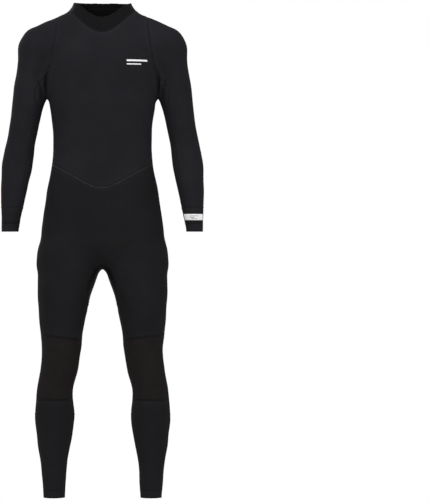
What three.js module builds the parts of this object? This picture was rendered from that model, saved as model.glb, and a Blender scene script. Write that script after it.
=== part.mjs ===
// A full-length wetsuit with a back zip, a wrapped neck closure and ankle zips.
// Millimetres, +Z up, the front faces -Y and the wearer's left is +X.
// Pattern heights are measured up from the ankle hems. The origin is the hanging point inside the neck.
import * as THREE from 'three';
import { mergeGeometries, mergeVertices } from 'three/addons/utils/BufferGeometryUtils.js';

// Grading: the pattern is drafted for one wearer and scaled to another
const wearerHeight = 1780;
const wearerChest = 990;
const draftedHeight = 1780;
const draftedChest = 990;
const growHeight = wearerHeight / draftedHeight;
const growGirth = wearerChest / draftedChest;

// Neoprene and seams
const panelThickness = 3;
const cuffThickness = 2.4;
const seamGap = 0.3;
const gussetGap = 1.5;
const neckGap = 1;
const layerGap = 0.8;

// Pattern heights of the seams and hems
const hangHeight = 1340;
const collarTop = { front: 1403, side: 1447, back: 1452 };
const neckSeam = { front: 1360, side: 1424, back: 1400 };
const waistSeam = { front: 905, side: 978, back: 888 };
const kneeSeam = { outer: 480, inner: 462 };
const shinSeam = 287;
const calfSeam = 243;
const ankleHem = 0;
const cuffSeam = 850;
const cuffHem = 779;
const armholePivot = { x: 168, height: 1150 };
const armholeTilt = 98.9;
const sleeveSeamAngle = 125;
const gusset = {
  height: 635,
  halfHeight: 80,
  halfDepth: 55,
  halfAcross: 95,
  fanHeight: 550,
  fanStart: 18,
  firstGuess: 610,
};
const wristLabel = { low: 812, high: 830, thickness: 0.6, start: -150, end: -30 };

// The neck closure: the wrap rises from its lowest height at the back towards its ends
const wrap = { start: 58, end: 160, low: 1364, rise: 40, thickness: 2.5 };
const wrapRise = { angle: 93, from: 4, to: 62 };
const patch = { inset: 7, thickness: 1, loopStart: 122, loopEnd: 152, hookStart: 124, hookEnd: 164 };
const bib = { start: 52, end: 128, low: 1354, high: 1436, depth: 4.5, thickness: 2 };
const collarEnds = [-257, 77];

// Zips: across is the lateral half size from the centre of the chain
const backZip = {
  bottom: 973,
  top: 1342,
  slot: 10,
  chain: { inner: 0.9, outer: 4.9, thickness: 2.4 },
  tapeThickness: 1.2,
  slider: { width: 13, length: 28, plate: 1.6, web: 1.2 },
  pull: { width: 11, length: 36, thickness: 1.6 },
};
const ankleZip = {
  bottom: 62,
  top: 218,
  slot: 9.5,
  chain: { inner: 0.8, outer: 3.2, thickness: 2 },
  tapeThickness: 1,
  slider: { width: 9, length: 16, plate: 1.3, web: 1 },
  pull: { width: 7, length: 20, thickness: 1.3 },
};
const ankleZipAngle = 125;
const backZipBed = { footY: 83, topY: 93.5, footRise: 6, sliderRest: 16 };
const backFlap = { start: 71, end: 109, footDrop: 2, topRise: 11, top: -9, bottom: -11 };
const ankleZipDepth = 1;
const ankleSliderRest = 3;
const ankleFlap = { halfAngle: 30, point: -3, shoulder: 24, top: 226, outer: -6.5, inner: -8 };
const slotTaper = 25;
const clearance = 0.3;
const bridge = { half: 1.5, height: 2.4 };
const pullSeat = { top: 1.2, lift: 1.4, drop: 3 };
const stopLength = 4;
const leashWidth = 15;
const leashThickness = 2;

// Where the pull leash hangs, from the zip pull down the back: x, y, pattern height.
// It bows out just far enough to pass over the seat when the slider runs down.
const leashRoute = [
  [0, 100.5, 1296],
  [6, 102.5, 1260],
  [8.5, 107.5, 1220],
  [9, 115.5, 1180],
  [10, 124.8, 1140],
  [11, 127.5, 1100],
  [13, 126, 1020],
  [15, 124.8, 965],
  [21, 124.8, 920],
  [34, 126.2, 876],
  [50, 127.3, 836],
];

const neoprene = { color: 0x222224, roughness: 0.85, metalness: 0 };
const smoothNeoprene = { color: 0x1c1c1e, roughness: 0.6, metalness: 0 };
const matteNeoprene = { color: 0x1c1b1b, roughness: 0.95, metalness: 0 };
const webbing = { color: 0x18181a, roughness: 0.8, metalness: 0 };
const plastic = { color: 0x141416, roughness: 0.45, metalness: 0 };
const metal = { color: 0x8a8c90, roughness: 0.35, metalness: 1 };
const white = { color: 0xe8e8e8, roughness: 0.6, metalness: 0 };

// Body sections of the drafted pattern: height, centre x, half width, front y, back y
const trunkSections = [
  [640, 0, 190, -76, 92],
  [700, 0, 187, -82, 104],
  [780, 0, 179, -90, 112],
  [850, 0, 170, -94, 103],
  [905, 0, 161, -97, 92],
  [973, 0, 148, -98, 84],
  [1030, 0, 143.5, -100, 85.3],
  [1105, 0, 148, -107, 87],
  [1172, 0, 158, -113, 88.6],
  [1250, 0, 160, -110, 90.4],
  [1320, 0, 140, -92, 92],
  [1362, 0, 118, -74, 93],
  [1400, 0, 100, -64, 90],
];
const neckSections = [
  [1300, 0, 96, -72, 84],
  [1350, 0, 96, -72, 86],
  [1380, 0, 94, -68, 84],
  [1405, 0, 90, -62, 79],
  [1430, 0, 85, -55, 73],
  [1455, 0, 82, -50, 68],
  [1480, 0, 81, -48, 66],
];
const armSections = [
  [760, 270, 25, -50, 8],
  [782, 269.5, 25, -50, 8],
  [840, 265, 31, -50, 18],
  [900, 259, 38, -48, 32],
  [958, 252, 44, -45, 45],
  [987, 248.5, 44.5, -42, 50],
  [1046, 238.5, 42.5, -36, 56],
  [1105, 227, 43, -40, 60],
  [1172, 215, 48.5, -47, 62],
  [1250, 200, 52, -52, 64],
  [1322, 182, 60, -54, 68],
  [1360, 176, 60, -54, 68],
];
const legSections = [
  [-30, 142.5, 31, -34, 50],
  [0, 142.5, 31.5, -34, 52],
  [50, 142.5, 34.5, -32, 54],
  [108, 143.5, 39.5, -33, 58],
  [167, 142, 50, -38, 67],
  [240, 140.5, 57.5, -47, 76],
  [313, 140, 52, -52, 68],
  [372, 127.5, 54.5, -60, 56],
  [430, 120, 56, -70, 56],
  [489, 119.5, 62.5, -78, 66],
  [583, 113, 76, -90, 86],
  [671, 99.5, 89.5, -91, 98],
  [760, 95, 84, -86, 104],
];
const trunkSquareness = 2.3;
const crotchHeight = 671;
const crotchRise = 130;
const shoulderLine = { x: 40, y: 12, height: 1392, radius: 50 };
const shoulderEnd = { x: 184, y: 7, height: 1323, radius: 58 };
const seatBall = { centre: [76, 46, 768], radii: [80, 76, 92] };
const bladeBall = { centre: [78, 38, 1255], radii: [72, 72, 110] };
const chestBall = { centre: [66, -58, 1262], radii: [74, 60, 76] };
const shoulderDepth = 1.06;

// Heights where the body forms end, and how widely each melts into the next
const formEnd = { trunk: 1378, neck: 1330, arm: 1330, leg: 750 };
const melt = { trunkTop: 50, crotch: 26, neckFoot: 30, armTop: 30, legTop: 40 };
const join = { swell: 30, shoulder: 34, neck: 34, arm: 24, seat: 36, leg: 24 };
const longestRay = 400;
const rowGap = 0.006;
const rayStride = 5;

const radians = THREE.MathUtils.degToRad;
const mix = THREE.MathUtils.lerp;

// A smooth curve through the sections at one height
function sectionAt(sections, height) {
  const h = THREE.MathUtils.clamp(height, sections[0][0], sections[sections.length - 1][0]);
  let i = 0;
  while (i < sections.length - 2 && sections[i + 1][0] <= h) {
    i += 1;
  }
  const start = sections[i];
  const end = sections[i + 1];
  const span = end[0] - start[0];
  const s = (h - start[0]) / span;
  const slope = (index, column) => {
    const before = sections[Math.max(index - 1, 0)];
    const after = sections[Math.min(index + 1, sections.length - 1)];
    return (after[column] - before[column]) / (after[0] - before[0]);
  };
  return start.map((value, column) => {
    const a = (2 * s ** 3 - 3 * s ** 2 + 1) * value;
    const b = (s ** 3 - 2 * s ** 2 + s) * span * slope(i, column);
    const c = (3 * s ** 2 - 2 * s ** 3) * end[column];
    const d = (s ** 3 - s ** 2) * span * slope(i + 1, column);
    return a + b + c + d;
  });
}

function blend(a, b, width) {
  return Math.min(a, b) - Math.max(width - Math.abs(a - b), 0) ** 2 / (4 * width);
}

function trim(a, b, width) {
  return Math.max(a, b) + Math.max(width - Math.abs(a - b), 0) ** 2 / (4 * width);
}

function tubeDistance(sections, squareness, x, y, h) {
  const [, centre, halfWidth, front, back] = sectionAt(sections, h);
  const halfDepth = (back - front) / 2;
  const across = Math.abs(x - centre) / halfWidth;
  const deep = Math.abs(y - (front + back) / 2) / halfDepth;
  const size = (across ** squareness + deep ** squareness + 1e-9) ** (1 / squareness);
  const steepness = Math.hypot(across ** (squareness - 1) / halfWidth, deep ** (squareness - 1) / halfDepth);
  return (size - 1) / Math.max(size ** (1 - squareness) * steepness, 1e-3);
}

function ballDistance({ centre, radii }, x, y, h) {
  const scaled = [x, y, h].map((value, i) => (value - centre[i]) / radii[i]);
  const size = Math.hypot(...scaled) + 1e-6;
  const steepness = Math.hypot(...scaled.map((value, i) => value / radii[i])) / size;
  return (size - 1) / Math.max(steepness, 1e-3);
}

function shoulderDistance(x, y, h) {
  const lean = shoulderEnd.x - shoulderLine.x;
  const drop = shoulderEnd.height - shoulderLine.height;
  const offX = x - shoulderLine.x;
  const offY = (y - (shoulderLine.y + shoulderEnd.y) / 2) / shoulderDepth;
  const offH = h - shoulderLine.height;
  const along = THREE.MathUtils.clamp((offX * lean + offH * drop) / (lean * lean + drop * drop), 0, 1);
  const radius = mix(shoulderLine.radius, shoulderEnd.radius, along);
  return Math.hypot(offX - along * lean, offY, offH - along * drop) - radius;
}

// Signed distance to the suit's outer surface, negative inside, for a point in graded sizes
function bodyDistance(point) {
  const x = Math.abs(point.x) / growGirth;
  const y = point.y / growGirth;
  const h = point.z / growHeight;
  const tube = (sections, squareness = 2) => tubeDistance(sections, squareness, x, y, h);
  const trunkTop = trim(tube(trunkSections, trunkSquareness), h - formEnd.trunk, melt.trunkTop);
  const trunk = trim(trunkTop, crotchHeight + (y * y) / crotchRise - h, melt.crotch);
  const neck = trim(tube(neckSections), formEnd.neck - h, melt.neckFoot);
  const arm = trim(tube(armSections), h - formEnd.arm, melt.armTop);
  const leg = trim(tube(legSections), h - formEnd.leg, melt.legTop);
  let distance = blend(trunk, ballDistance(bladeBall, x, y, h), join.swell);
  distance = blend(distance, ballDistance(chestBall, x, y, h), join.swell);
  distance = blend(distance, shoulderDistance(x, y, h), join.shoulder);
  distance = blend(distance, neck, join.neck);
  distance = blend(distance, arm, join.arm);
  distance = blend(distance, ballDistance(seatBall, x, y, h), join.seat);
  return blend(distance, leg, join.leg) * Math.min(growGirth, growHeight);
}

// The first point on a ray where the distance to the surface passes the wanted level
function cast(origin, direction, level, fromOutside = false) {
  const side = fromOutside ? -1 : 1;
  const at = (reach) => side * (bodyDistance(origin.clone().addScaledVector(direction, reach)) - level);
  let near = 0;
  let far = rayStride;
  while (at(far) < 0 && far < longestRay) {
    near = far;
    far += rayStride;
  }
  for (let i = 0; i < 22; i += 1) {
    const middle = (near + far) / 2;
    if (at(middle) < 0) {
      near = middle;
    } else {
      far = middle;
    }
  }
  return origin.clone().addScaledVector(direction, near);
}

// A closed geometry has its seams welded and its faces turned outwards
function closed(geometry) {
  geometry.deleteAttribute('normal');
  geometry.deleteAttribute('uv');
  const welded = mergeVertices(geometry, 1e-4);
  const position = welded.getAttribute('position');
  const index = Array.from(welded.getIndex().array);
  const corner = (i) => new THREE.Vector3().fromBufferAttribute(position, index[i]);
  let volume = 0;
  const kept = [];
  for (let i = 0; i < index.length; i += 3) {
    const [a, b, c] = index.slice(i, i + 3);
    if (a !== b && b !== c && c !== a) {
      kept.push(a, b, c);
      volume += corner(i).dot(corner(i + 1).cross(corner(i + 2)));
    }
  }
  welded.setIndex(volume > 0 ? kept : kept.reverse());
  welded.computeVertexNormals();
  return welded;
}

// A sheet follows the body: its columns run from one edge angle to the other and its rows run upwards
function sheet({ columns, rows, edges, ray, levels, fromOutside = false, centred = false }) {
  const geometry = new THREE.BoxGeometry(1, 1, 1, columns, rows.length - 1, 1);
  const position = geometry.getAttribute('position');
  const limits = rows.map((row) => levels.map((level) => edges(row, level)));
  for (let i = 0; i < position.count; i += 1) {
    const u = position.getX(i) + 0.5;
    const rowIndex = Math.round((position.getY(i) + 0.5) * (rows.length - 1));
    const side = position.getZ(i) > 0 ? 0 : 1;
    const [start, end] = limits[rowIndex][side];
    const { origin, direction } = ray(mix(start, end, u), rows[rowIndex], levels[side]);
    const point = cast(origin, direction, levels[side], fromOutside);
    const x = centred && Math.abs(point.x) < 0.02 ? 0 : point.x;
    position.setXYZ(i, x, point.y, point.z);
  }
  return closed(geometry);
}

// The angle, walking from start to end, where the sheet leaves its own side of a seam
function edgeAngle(start, end, ray, row, level, belongs) {
  const onOwnSide = (angle) => {
    const { origin, direction } = ray(angle, row);
    return belongs(cast(origin, direction, level));
  };
  const steps = 60;
  let inside = start;
  for (let i = 1; i <= steps; i += 1) {
    const angle = mix(start, end, i / steps);
    if (!onOwnSide(angle)) {
      let outside = angle;
      for (let j = 0; j < 20; j += 1) {
        const middle = (inside + outside) / 2;
        if (onOwnSide(middle)) {
          inside = middle;
        } else {
          outside = middle;
        }
      }
      return inside;
    }
    inside = angle;
  }
  return end;
}

// The rows with one more, where a sheet's edge passes from one seam to another
function withTurningRow(rows, low, high, isPast) {
  let before = low;
  let after = high;
  for (let i = 0; i < 24; i += 1) {
    const middle = (before + after) / 2;
    if (isPast(middle)) {
      after = middle;
    } else {
      before = middle;
    }
  }
  const apart = rows.filter((row) => Math.abs(row - after) > rowGap);
  return [...apart, after].sort((a, b) => a - b);
}

function mirrored(geometry) {
  return closed(geometry.clone().scale(-1, 1, 1));
}

// Two mirrored halves that meet on the centre plane become one body
function joinedOnCentre(half) {
  const open = half.clone();
  const position = open.getAttribute('position');
  const index = Array.from(open.getIndex().array);
  const kept = [];
  for (let i = 0; i < index.length; i += 3) {
    const corners = index.slice(i, i + 3);
    if (corners.some((corner) => position.getX(corner) !== 0)) {
      kept.push(...corners);
    }
  }
  open.setIndex(kept);
  const other = open.clone().scale(-1, 1, 1);
  other.setIndex(kept.slice().reverse());
  return closed(mergeGeometries([open, other]));
}

const suit = new THREE.Group();
suit.position.z = -hangHeight * growHeight;

function add(name, geometry, look, parent = suit) {
  const mesh = new THREE.Mesh(geometry, new THREE.MeshStandardMaterial(look));
  mesh.name = name;
  parent.add(mesh);
  return mesh;
}

function addPair(name, leftGeometry, look) {
  add(`left_${name}`, leftGeometry, look);
  add(`right_${name}`, mirrored(leftGeometry), look);
}

const skin = [0, -panelThickness];
const spread = (count) => Array.from({ length: count + 1 }, (_, i) => i / count);
const levelOf = (heights, angle) => {
  const end = Math.sin(radians(angle)) < 0 ? heights.front : heights.back;
  return mix(end, heights.side, Math.cos(radians(angle)) ** 2) * growHeight;
};
const around = (angle) => new THREE.Vector3(Math.cos(radians(angle)), Math.sin(radians(angle)), 0);

// The trunk: rays leave the centre line, front panels from just in front of it and back panels from behind
function trunkRay(low, high, offset) {
  return (angle, row) => {
    const height = mix(levelOf(low, angle) + seamGap / 2, levelOf(high, angle) - seamGap / 2, row);
    return { origin: new THREE.Vector3(0, offset, height), direction: around(angle) };
  };
}

const armholeDirection = new THREE.Vector3(Math.cos(radians(armholeTilt)), 0, Math.sin(radians(armholeTilt)));
const armholeOut = new THREE.Vector3(armholeDirection.z, 0, -armholeDirection.x);
const pivot = new THREE.Vector3(armholePivot.x * growGirth, 0, armholePivot.height * growHeight);

function insideArmhole(point) {
  const mirroredPoint = new THREE.Vector3(Math.abs(point.x), 0, point.z);
  const below = mirroredPoint.z < pivot.z;
  return below || mirroredPoint.sub(pivot).dot(armholeOut) < -seamGap / 2;
}

const shoulderSearch = [0.75, 1];
const crotchSearch = [0.35, 0.5];
const trunkRows = [0, 0.12, 0.24, 0.34, 0.42, 0.47, 0.52, 0.57, 0.63, 0.69, 0.75, 0.81, 0.87, 0.94, 1];

function buildTrunk() {
  const frontRay = trunkRay(waistSeam, neckSeam, -seamGap / 2);
  const frontEdges = (row, level) => {
    const right = edgeAngle(-90, 0, frontRay, row, level, insideArmhole);
    return [-180 - right, right];
  };
  const frontAtRidge = (row) => frontEdges(row, 0)[1] === 0;
  const frontRows = withTurningRow(trunkRows, ...shoulderSearch, frontAtRidge);
  const front = { columns: 20, rows: frontRows, edges: frontEdges, ray: frontRay, levels: skin };
  add('front_torso_panel', sheet(front), neoprene);

  const backRay = trunkRay(waistSeam, neckSeam, seamGap / 2);
  const besideZip = (point) => point.x > backZip.slot;
  const belowZip = (point) => point.x > seamGap / 2;
  const backEdges = (row, level) => {
    const side = edgeAngle(80, 0, backRay, row, level, insideArmhole);
    const bottom = backRay(90, row).origin.z < backZip.bottom * growHeight;
    const centre = edgeAngle(side, 90, backRay, row, level, bottom ? belowZip : besideZip);
    return [side, centre];
  };
  const backAtRidge = (row) => backEdges(row, 0)[0] === 0;
  const zipRows = [0, 0.12, 0.155, 0.169, ...trunkRows.slice(2)];
  const backRows = withTurningRow(zipRows, ...shoulderSearch, backAtRidge);
  const back = { columns: 9, rows: backRows, edges: backEdges, ray: backRay, levels: skin };
  addPair('back_panel', sheet(back), neoprene);
}

// The lower body: the ray centre drifts from the trunk's centre line into the leg
function lowerAxis(height) {
  const h = height / growHeight;
  return sectionAt(legSections, h)[1] * THREE.MathUtils.smoothstep(880 - h, 0, 190) * growGirth;
}

function lowerRay(low, high, offset) {
  return (angle, row) => {
    const height = mix(low(angle) + seamGap / 2, high(angle) - seamGap / 2, row);
    return { origin: new THREE.Vector3(lowerAxis(height), offset, height), direction: around(angle) };
  };
}

const waistAt = (angle) => levelOf(waistSeam, angle);
const kneeAt = (angle) => {
  const outerShare = (1 + Math.cos(radians(angle))) / 2;
  return mix(kneeSeam.inner, kneeSeam.outer, outerShare) * growHeight;
};
const flat = (height) => () => height * growHeight;

function gussetReach(height) {
  const offset = (height / growHeight - gusset.height) / gusset.halfHeight;
  return gusset.halfDepth * growGirth * Math.max(1 - offset * offset, 0);
}

function outsideGusset(point, centreGap) {
  const reach = gussetReach(point.z);
  const beyond = Math.abs(point.y) > reach + gussetGap || point.x > gusset.halfAcross * growGirth;
  return point.x > centreGap && (reach === 0 || beyond);
}

const gussetRows = spread(10).map((share) => mix(0.2, 0.5, share));
const legRows = [0, 0.08, 0.15, ...gussetRows, 0.56, 0.64, 0.76, 0.88, 1];
const kneeShare = 0.3225;

function buildLowerBody() {
  const frontRay = lowerRay(kneeAt, waistAt, -seamGap / 2);
  const frontEdges = (row, level) => {
    const inner = edgeAngle(0, -180, frontRay, row, level, (point) => outsideGusset(point, 0));
    return [inner, 0];
  };
  const onCentre = (ray, row, angle) => {
    const { origin, direction } = ray(angle, row);
    return cast(origin, direction, 0).x < seamGap;
  };
  const frontAtCentre = (row) => onCentre(frontRay, row, frontEdges(row, 0)[0]);
  const frontRows = withTurningRow(legRows, ...crotchSearch, frontAtCentre);
  const front = { columns: 10, rows: frontRows, edges: frontEdges, ray: frontRay, levels: skin };
  add('front_leg_panel', joinedOnCentre(sheet({ ...front, centred: true })), neoprene);

  const backRay = lowerRay(flat(calfSeam), waistAt, seamGap / 2);
  const backEdges = (row, level) => {
    const inner = edgeAngle(0, 180, backRay, row, level, (point) => outsideGusset(point, seamGap / 2));
    return [0, inner];
  };
  const calfRows = [0, 0.08, 0.16, 0.24, 0.32];
  const seatRows = legRows.slice(2).map((row) => mix(kneeShare, 1, row));
  const backAtCentre = (row) => onCentre(backRay, row, backEdges(row, 0)[1]);
  const seatSearch = crotchSearch.map((row) => mix(kneeShare, 1, row));
  const backRows = withTurningRow([...calfRows, ...seatRows], ...seatSearch, backAtCentre);
  const back = { columns: 9, rows: backRows, edges: backEdges, ray: backRay, levels: skin };
  addPair('seat_leg_panel', sheet(back), neoprene);

  const knee = { columns: 10, rows: spread(6), edges: () => [-180, 0], levels: skin };
  const kneeRay = lowerRay(flat(shinSeam), kneeAt, -seamGap / 2);
  addPair('knee_panel', sheet({ ...knee, ray: kneeRay }), matteNeoprene);
  const shinRay = lowerRay(flat(ankleHem - seamGap / 2 / growHeight), flat(shinSeam), -seamGap / 2);
  addPair('shin_panel', sheet({ ...knee, rows: spread(7), ray: shinRay }), neoprene);
}

// The crotch gusset: rays fan upwards from between the legs, each in its own front-to-back plane
function buildGusset() {
  const fanHeight = gusset.fanHeight * growHeight;
  const fan = (angle, row, level) => {
    const direction = new THREE.Vector3(Math.cos(radians(angle)), 0, Math.sin(radians(angle)));
    let height = gusset.firstGuess * growHeight;
    let origin = new THREE.Vector3();
    for (let i = 0; i < 8; i += 1) {
      origin = new THREE.Vector3(0, row * gussetReach(height), fanHeight);
      height = cast(origin, direction, level, true).z;
    }
    return { origin, direction };
  };
  const fanEdges = [gusset.fanStart, 180 - gusset.fanStart];
  const rows = [-1, -0.6, 0, 0.6, 1];
  const shape = { columns: 16, rows, edges: () => fanEdges, ray: fan, levels: skin, fromOutside: true };
  add('crotch_gusset', sheet(shape), smoothNeoprene);
}

// The arm: level rings up to the armpit, then a fan of half planes turning about the armhole pivot.
// The ray centres slide outwards along the fan as it turns.
const fanSlide = { reach: 75, power: 1.2 };

function armRay(angle, station) {
  const armTop = pivot.z;
  const turning = station > armTop;
  const turn = turning ? radians(station - armTop) : 0;
  const spine = new THREE.Vector3(Math.cos(turn), 0, Math.sin(turn));
  const [, centre, , front, back] = sectionAt(armSections, Math.min(station, armTop) / growHeight);
  const share = turning ? (station - armTop) / armholeTilt : 0;
  const reach = centre * growGirth - pivot.x + fanSlide.reach * share ** fanSlide.power;
  const origin = pivot.clone().addScaledVector(spine, reach);
  origin.z += Math.min(station - armTop, 0);
  origin.y = ((front + back) / 2) * growGirth;
  const direction = spine.multiplyScalar(Math.cos(radians(angle)));
  direction.y = Math.sin(radians(angle));
  return { origin, direction };
}

// Radii that turn half a seam's gap into an angle
const sleeveRadius = 40;
const armholeRadius = 60;
const cuffRadius = 20;
const calfRadius = 35;

function buildArms() {
  const turnFor = (radius) => THREE.MathUtils.radToDeg(seamGap / 2 / radius);
  const seamTurn = turnFor(sleeveRadius);
  const armholeTurn = turnFor(armholeRadius);
  const start = cuffSeam * growHeight + seamGap / 2;
  const straight = spread(8).map((share) => mix(start, pivot.z, share));
  const fan = spread(9).slice(1).map((share) => pivot.z + share * (armholeTilt - armholeTurn));
  const rows = [...straight, ...fan];
  const outer = [-sleeveSeamAngle + seamTurn, sleeveSeamAngle - seamTurn];
  const under = [sleeveSeamAngle + seamTurn, 360 - sleeveSeamAngle - seamTurn];
  const arm = { rows, ray: armRay, levels: skin };
  addPair('sleeve', sheet({ ...arm, columns: 14, edges: () => outer }), neoprene);
  addPair('underarm_panel', sheet({ ...arm, columns: 5, edges: () => under }), neoprene);

  const hem = cuffHem * growHeight;
  const cuffRows = spread(3).map((share) => mix(hem, start - seamGap, share));
  const cuffTurn = turnFor(cuffRadius);
  const cuff = { columns: 16, rows: cuffRows, edges: () => [-180 + cuffTurn, 180 - cuffTurn], ray: armRay };
  addPair('cuff', sheet({ ...cuff, levels: [0, -cuffThickness] }), smoothNeoprene);

  const labelRows = [wristLabel.low * growHeight, wristLabel.high * growHeight];
  const labelEdges = () => [wristLabel.start, wristLabel.end];
  const labelLevels = [layerGap + wristLabel.thickness, layerGap];
  const label = { columns: 8, rows: labelRows, edges: labelEdges, ray: armRay, levels: labelLevels };
  add('wrist_label', sheet(label), white);
}

// The neck: a band open at the back, an outer wrap that closes it, and a bib behind the opening
function buildNeck() {
  const { front, side, back } = neckSeam;
  const bandFoot = { front: front + neckGap, side: side + neckGap, back: back + neckGap };
  const bandRay = trunkRay(bandFoot, collarTop, 0);
  const band = { columns: 36, rows: spread(3), edges: () => collarEnds, ray: bandRay };
  add('collar_band', sheet({ ...band, levels: skin }), smoothNeoprene);

  const between = (low, high) => (angle, row) => ({
    origin: new THREE.Vector3(0, 0, mix(low(angle), high(angle), row) * growHeight),
    direction: around(angle),
  });
  const { smoothstep } = THREE.MathUtils;
  const riseAt = (angle) => smoothstep(Math.abs(angle - wrapRise.angle), wrapRise.from, wrapRise.to);
  const wrapLow = (angle) => wrap.low + wrap.rise * riseAt(angle);
  const wrapHigh = () => collarTop.back;
  const patchRay = between((angle) => wrapLow(angle) + patch.inset, () => wrapHigh() - patch.inset);
  const loopTop = layerGap + patch.thickness;
  const loopEdges = () => [patch.loopStart, patch.loopEnd];
  const loop = { columns: 5, rows: spread(2), edges: loopEdges, ray: patchRay, levels: [loopTop, layerGap] };
  add('collar_loop_patch', sheet(loop), webbing);
  const hookTop = loopTop + layerGap + patch.thickness;
  const hookEdges = () => [patch.hookStart, patch.hookEnd];
  const hook = { ...loop, edges: hookEdges, levels: [hookTop, loopTop + layerGap] };
  add('collar_hook_patch', sheet(hook), webbing);
  const wrapBottom = hookTop + layerGap;
  const wrapLevels = [wrapBottom + wrap.thickness, wrapBottom];
  const wrapEdges = () => [wrap.start, wrap.end];
  const wrapRay = between(wrapLow, wrapHigh);
  const wrapShape = { columns: 12, rows: spread(4), edges: wrapEdges, ray: wrapRay, levels: wrapLevels };
  add('collar_wrap', sheet(wrapShape), smoothNeoprene);
  const bibTop = -panelThickness - bib.depth;
  const bibLevels = [bibTop, bibTop - bib.thickness];
  const bibEdges = () => [bib.start, bib.end];
  const bibRay = between(() => bib.low, () => bib.high);
  const bibShape = { columns: 8, rows: spread(6), edges: bibEdges, ray: bibRay, levels: bibLevels };
  add('neck_bib', sheet(bibShape), smoothNeoprene);
}

function outline(points) {
  return new THREE.Shape(points.map(([x, y]) => new THREE.Vector2(x, y)));
}

// One zip in its own frame: X across the chain, Y up along it, Z outwards, centred on the chain's foot
function buildZip(prefix, size, frame, length, sliderFoot, sides) {
  const zip = new THREE.Group();
  zip.matrixAutoUpdate = false;
  zip.matrix.copy(frame);
  suit.add(zip);
  const { chain, slider, pull } = size;
  const rowWidth = chain.outer - chain.inner;
  const tapeWidth = size.slot - clearance - chain.outer - clearance;
  sides.forEach((side, i) => {
    const sign = i === 0 ? 1 : -1;
    const row = new THREE.BoxGeometry(rowWidth, length, chain.thickness);
    row.translate(sign * (chain.inner + rowWidth / 2), length / 2, 0);
    add(`${prefix}_teeth_${side}`, closed(row), plastic, zip);
    const tape = new THREE.BoxGeometry(tapeWidth, length, size.tapeThickness);
    tape.translate(sign * (chain.outer + clearance + tapeWidth / 2), length / 2, 0);
    add(`${prefix}_tape_${side}`, closed(tape), webbing, zip);
  });
  const half = slider.width / 2;
  const hollow = chain.thickness / 2 + clearance;
  const face = hollow + slider.plate;
  const ridge = face + pull.thickness + bridge.height;
  const web = slider.web / 2;
  const section = outline([
    [-half, -face], [half, -face], [half, -hollow], [web, -hollow], [web, hollow], [half, hollow],
    [half, face], [bridge.half, face], [bridge.half, ridge], [-bridge.half, ridge], [-bridge.half, face],
    [-half, face], [-half, hollow], [-web, hollow], [-web, -hollow], [-half, -hollow],
  ]);
  const body = new THREE.ExtrudeGeometry(section, { depth: slider.length, bevelEnabled: false, steps: 1 });
  body.rotateX(Math.PI / 2);
  body.translate(0, sliderFoot + slider.length, 0);
  add(`${prefix}_slider`, closed(body), metal, zip);
  const fork = bridge.half + clearance;
  const wide = pull.width / 2;
  const tab = outline([
    [-wide, pullSeat.top], [-wide, -pull.length], [wide, -pull.length], [wide, pullSeat.top],
    [fork, pullSeat.top], [fork, -slider.length], [-fork, -slider.length], [-fork, pullSeat.top],
  ]);
  const plate = new THREE.ExtrudeGeometry(tab, { depth: pull.thickness, bevelEnabled: false });
  plate.translate(0, sliderFoot + slider.length - pullSeat.drop, face + pullSeat.lift);
  add(`${prefix}_pull`, closed(plate), metal, zip);
  const stop = new THREE.BoxGeometry(2 * chain.outer, stopLength, chain.thickness);
  stop.translate(0, -stopLength / 2 - clearance, 0);
  add(`${prefix}_bottom_stop`, closed(stop), metal, zip);
}

// A zip's frame stands on a foot point, points at a top point and faces along the given outward hint
function zipFrame(foot, top, outwards) {
  const up = top.clone().sub(foot).normalize();
  const across = up.clone().cross(outwards).normalize();
  const out = across.clone().cross(up);
  return new THREE.Matrix4().makeBasis(across, up, out).setPosition(foot);
}

function buildBackZip() {
  const footHeight = (backZip.bottom + backZipBed.footRise) * growHeight;
  const foot = new THREE.Vector3(0, backZipBed.footY * growGirth, footHeight);
  const top = new THREE.Vector3(0, backZipBed.topY * growGirth, backZip.top * growHeight);
  const length = top.distanceTo(foot) - backZip.slider.length / 2;
  const frame = zipFrame(foot, top, new THREE.Vector3(0, 1, 0));
  buildZip('back_zip', backZip, frame, length, length - backZipBed.sliderRest, ['right', 'left']);
  const flapRay = (angle, row) => {
    const height = mix(backZip.bottom - backFlap.footDrop, backZip.top + backFlap.topRise, row);
    return { origin: new THREE.Vector3(0, 0, height * growHeight), direction: around(angle) };
  };
  const flapLevels = [backFlap.top, backFlap.bottom];
  const flapEdges = () => [backFlap.start, backFlap.end];
  const flap = { columns: 4, rows: spread(9), edges: flapEdges, ray: flapRay, levels: flapLevels };
  add('zip_backing_flap', sheet(flap), smoothNeoprene);
}

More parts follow.
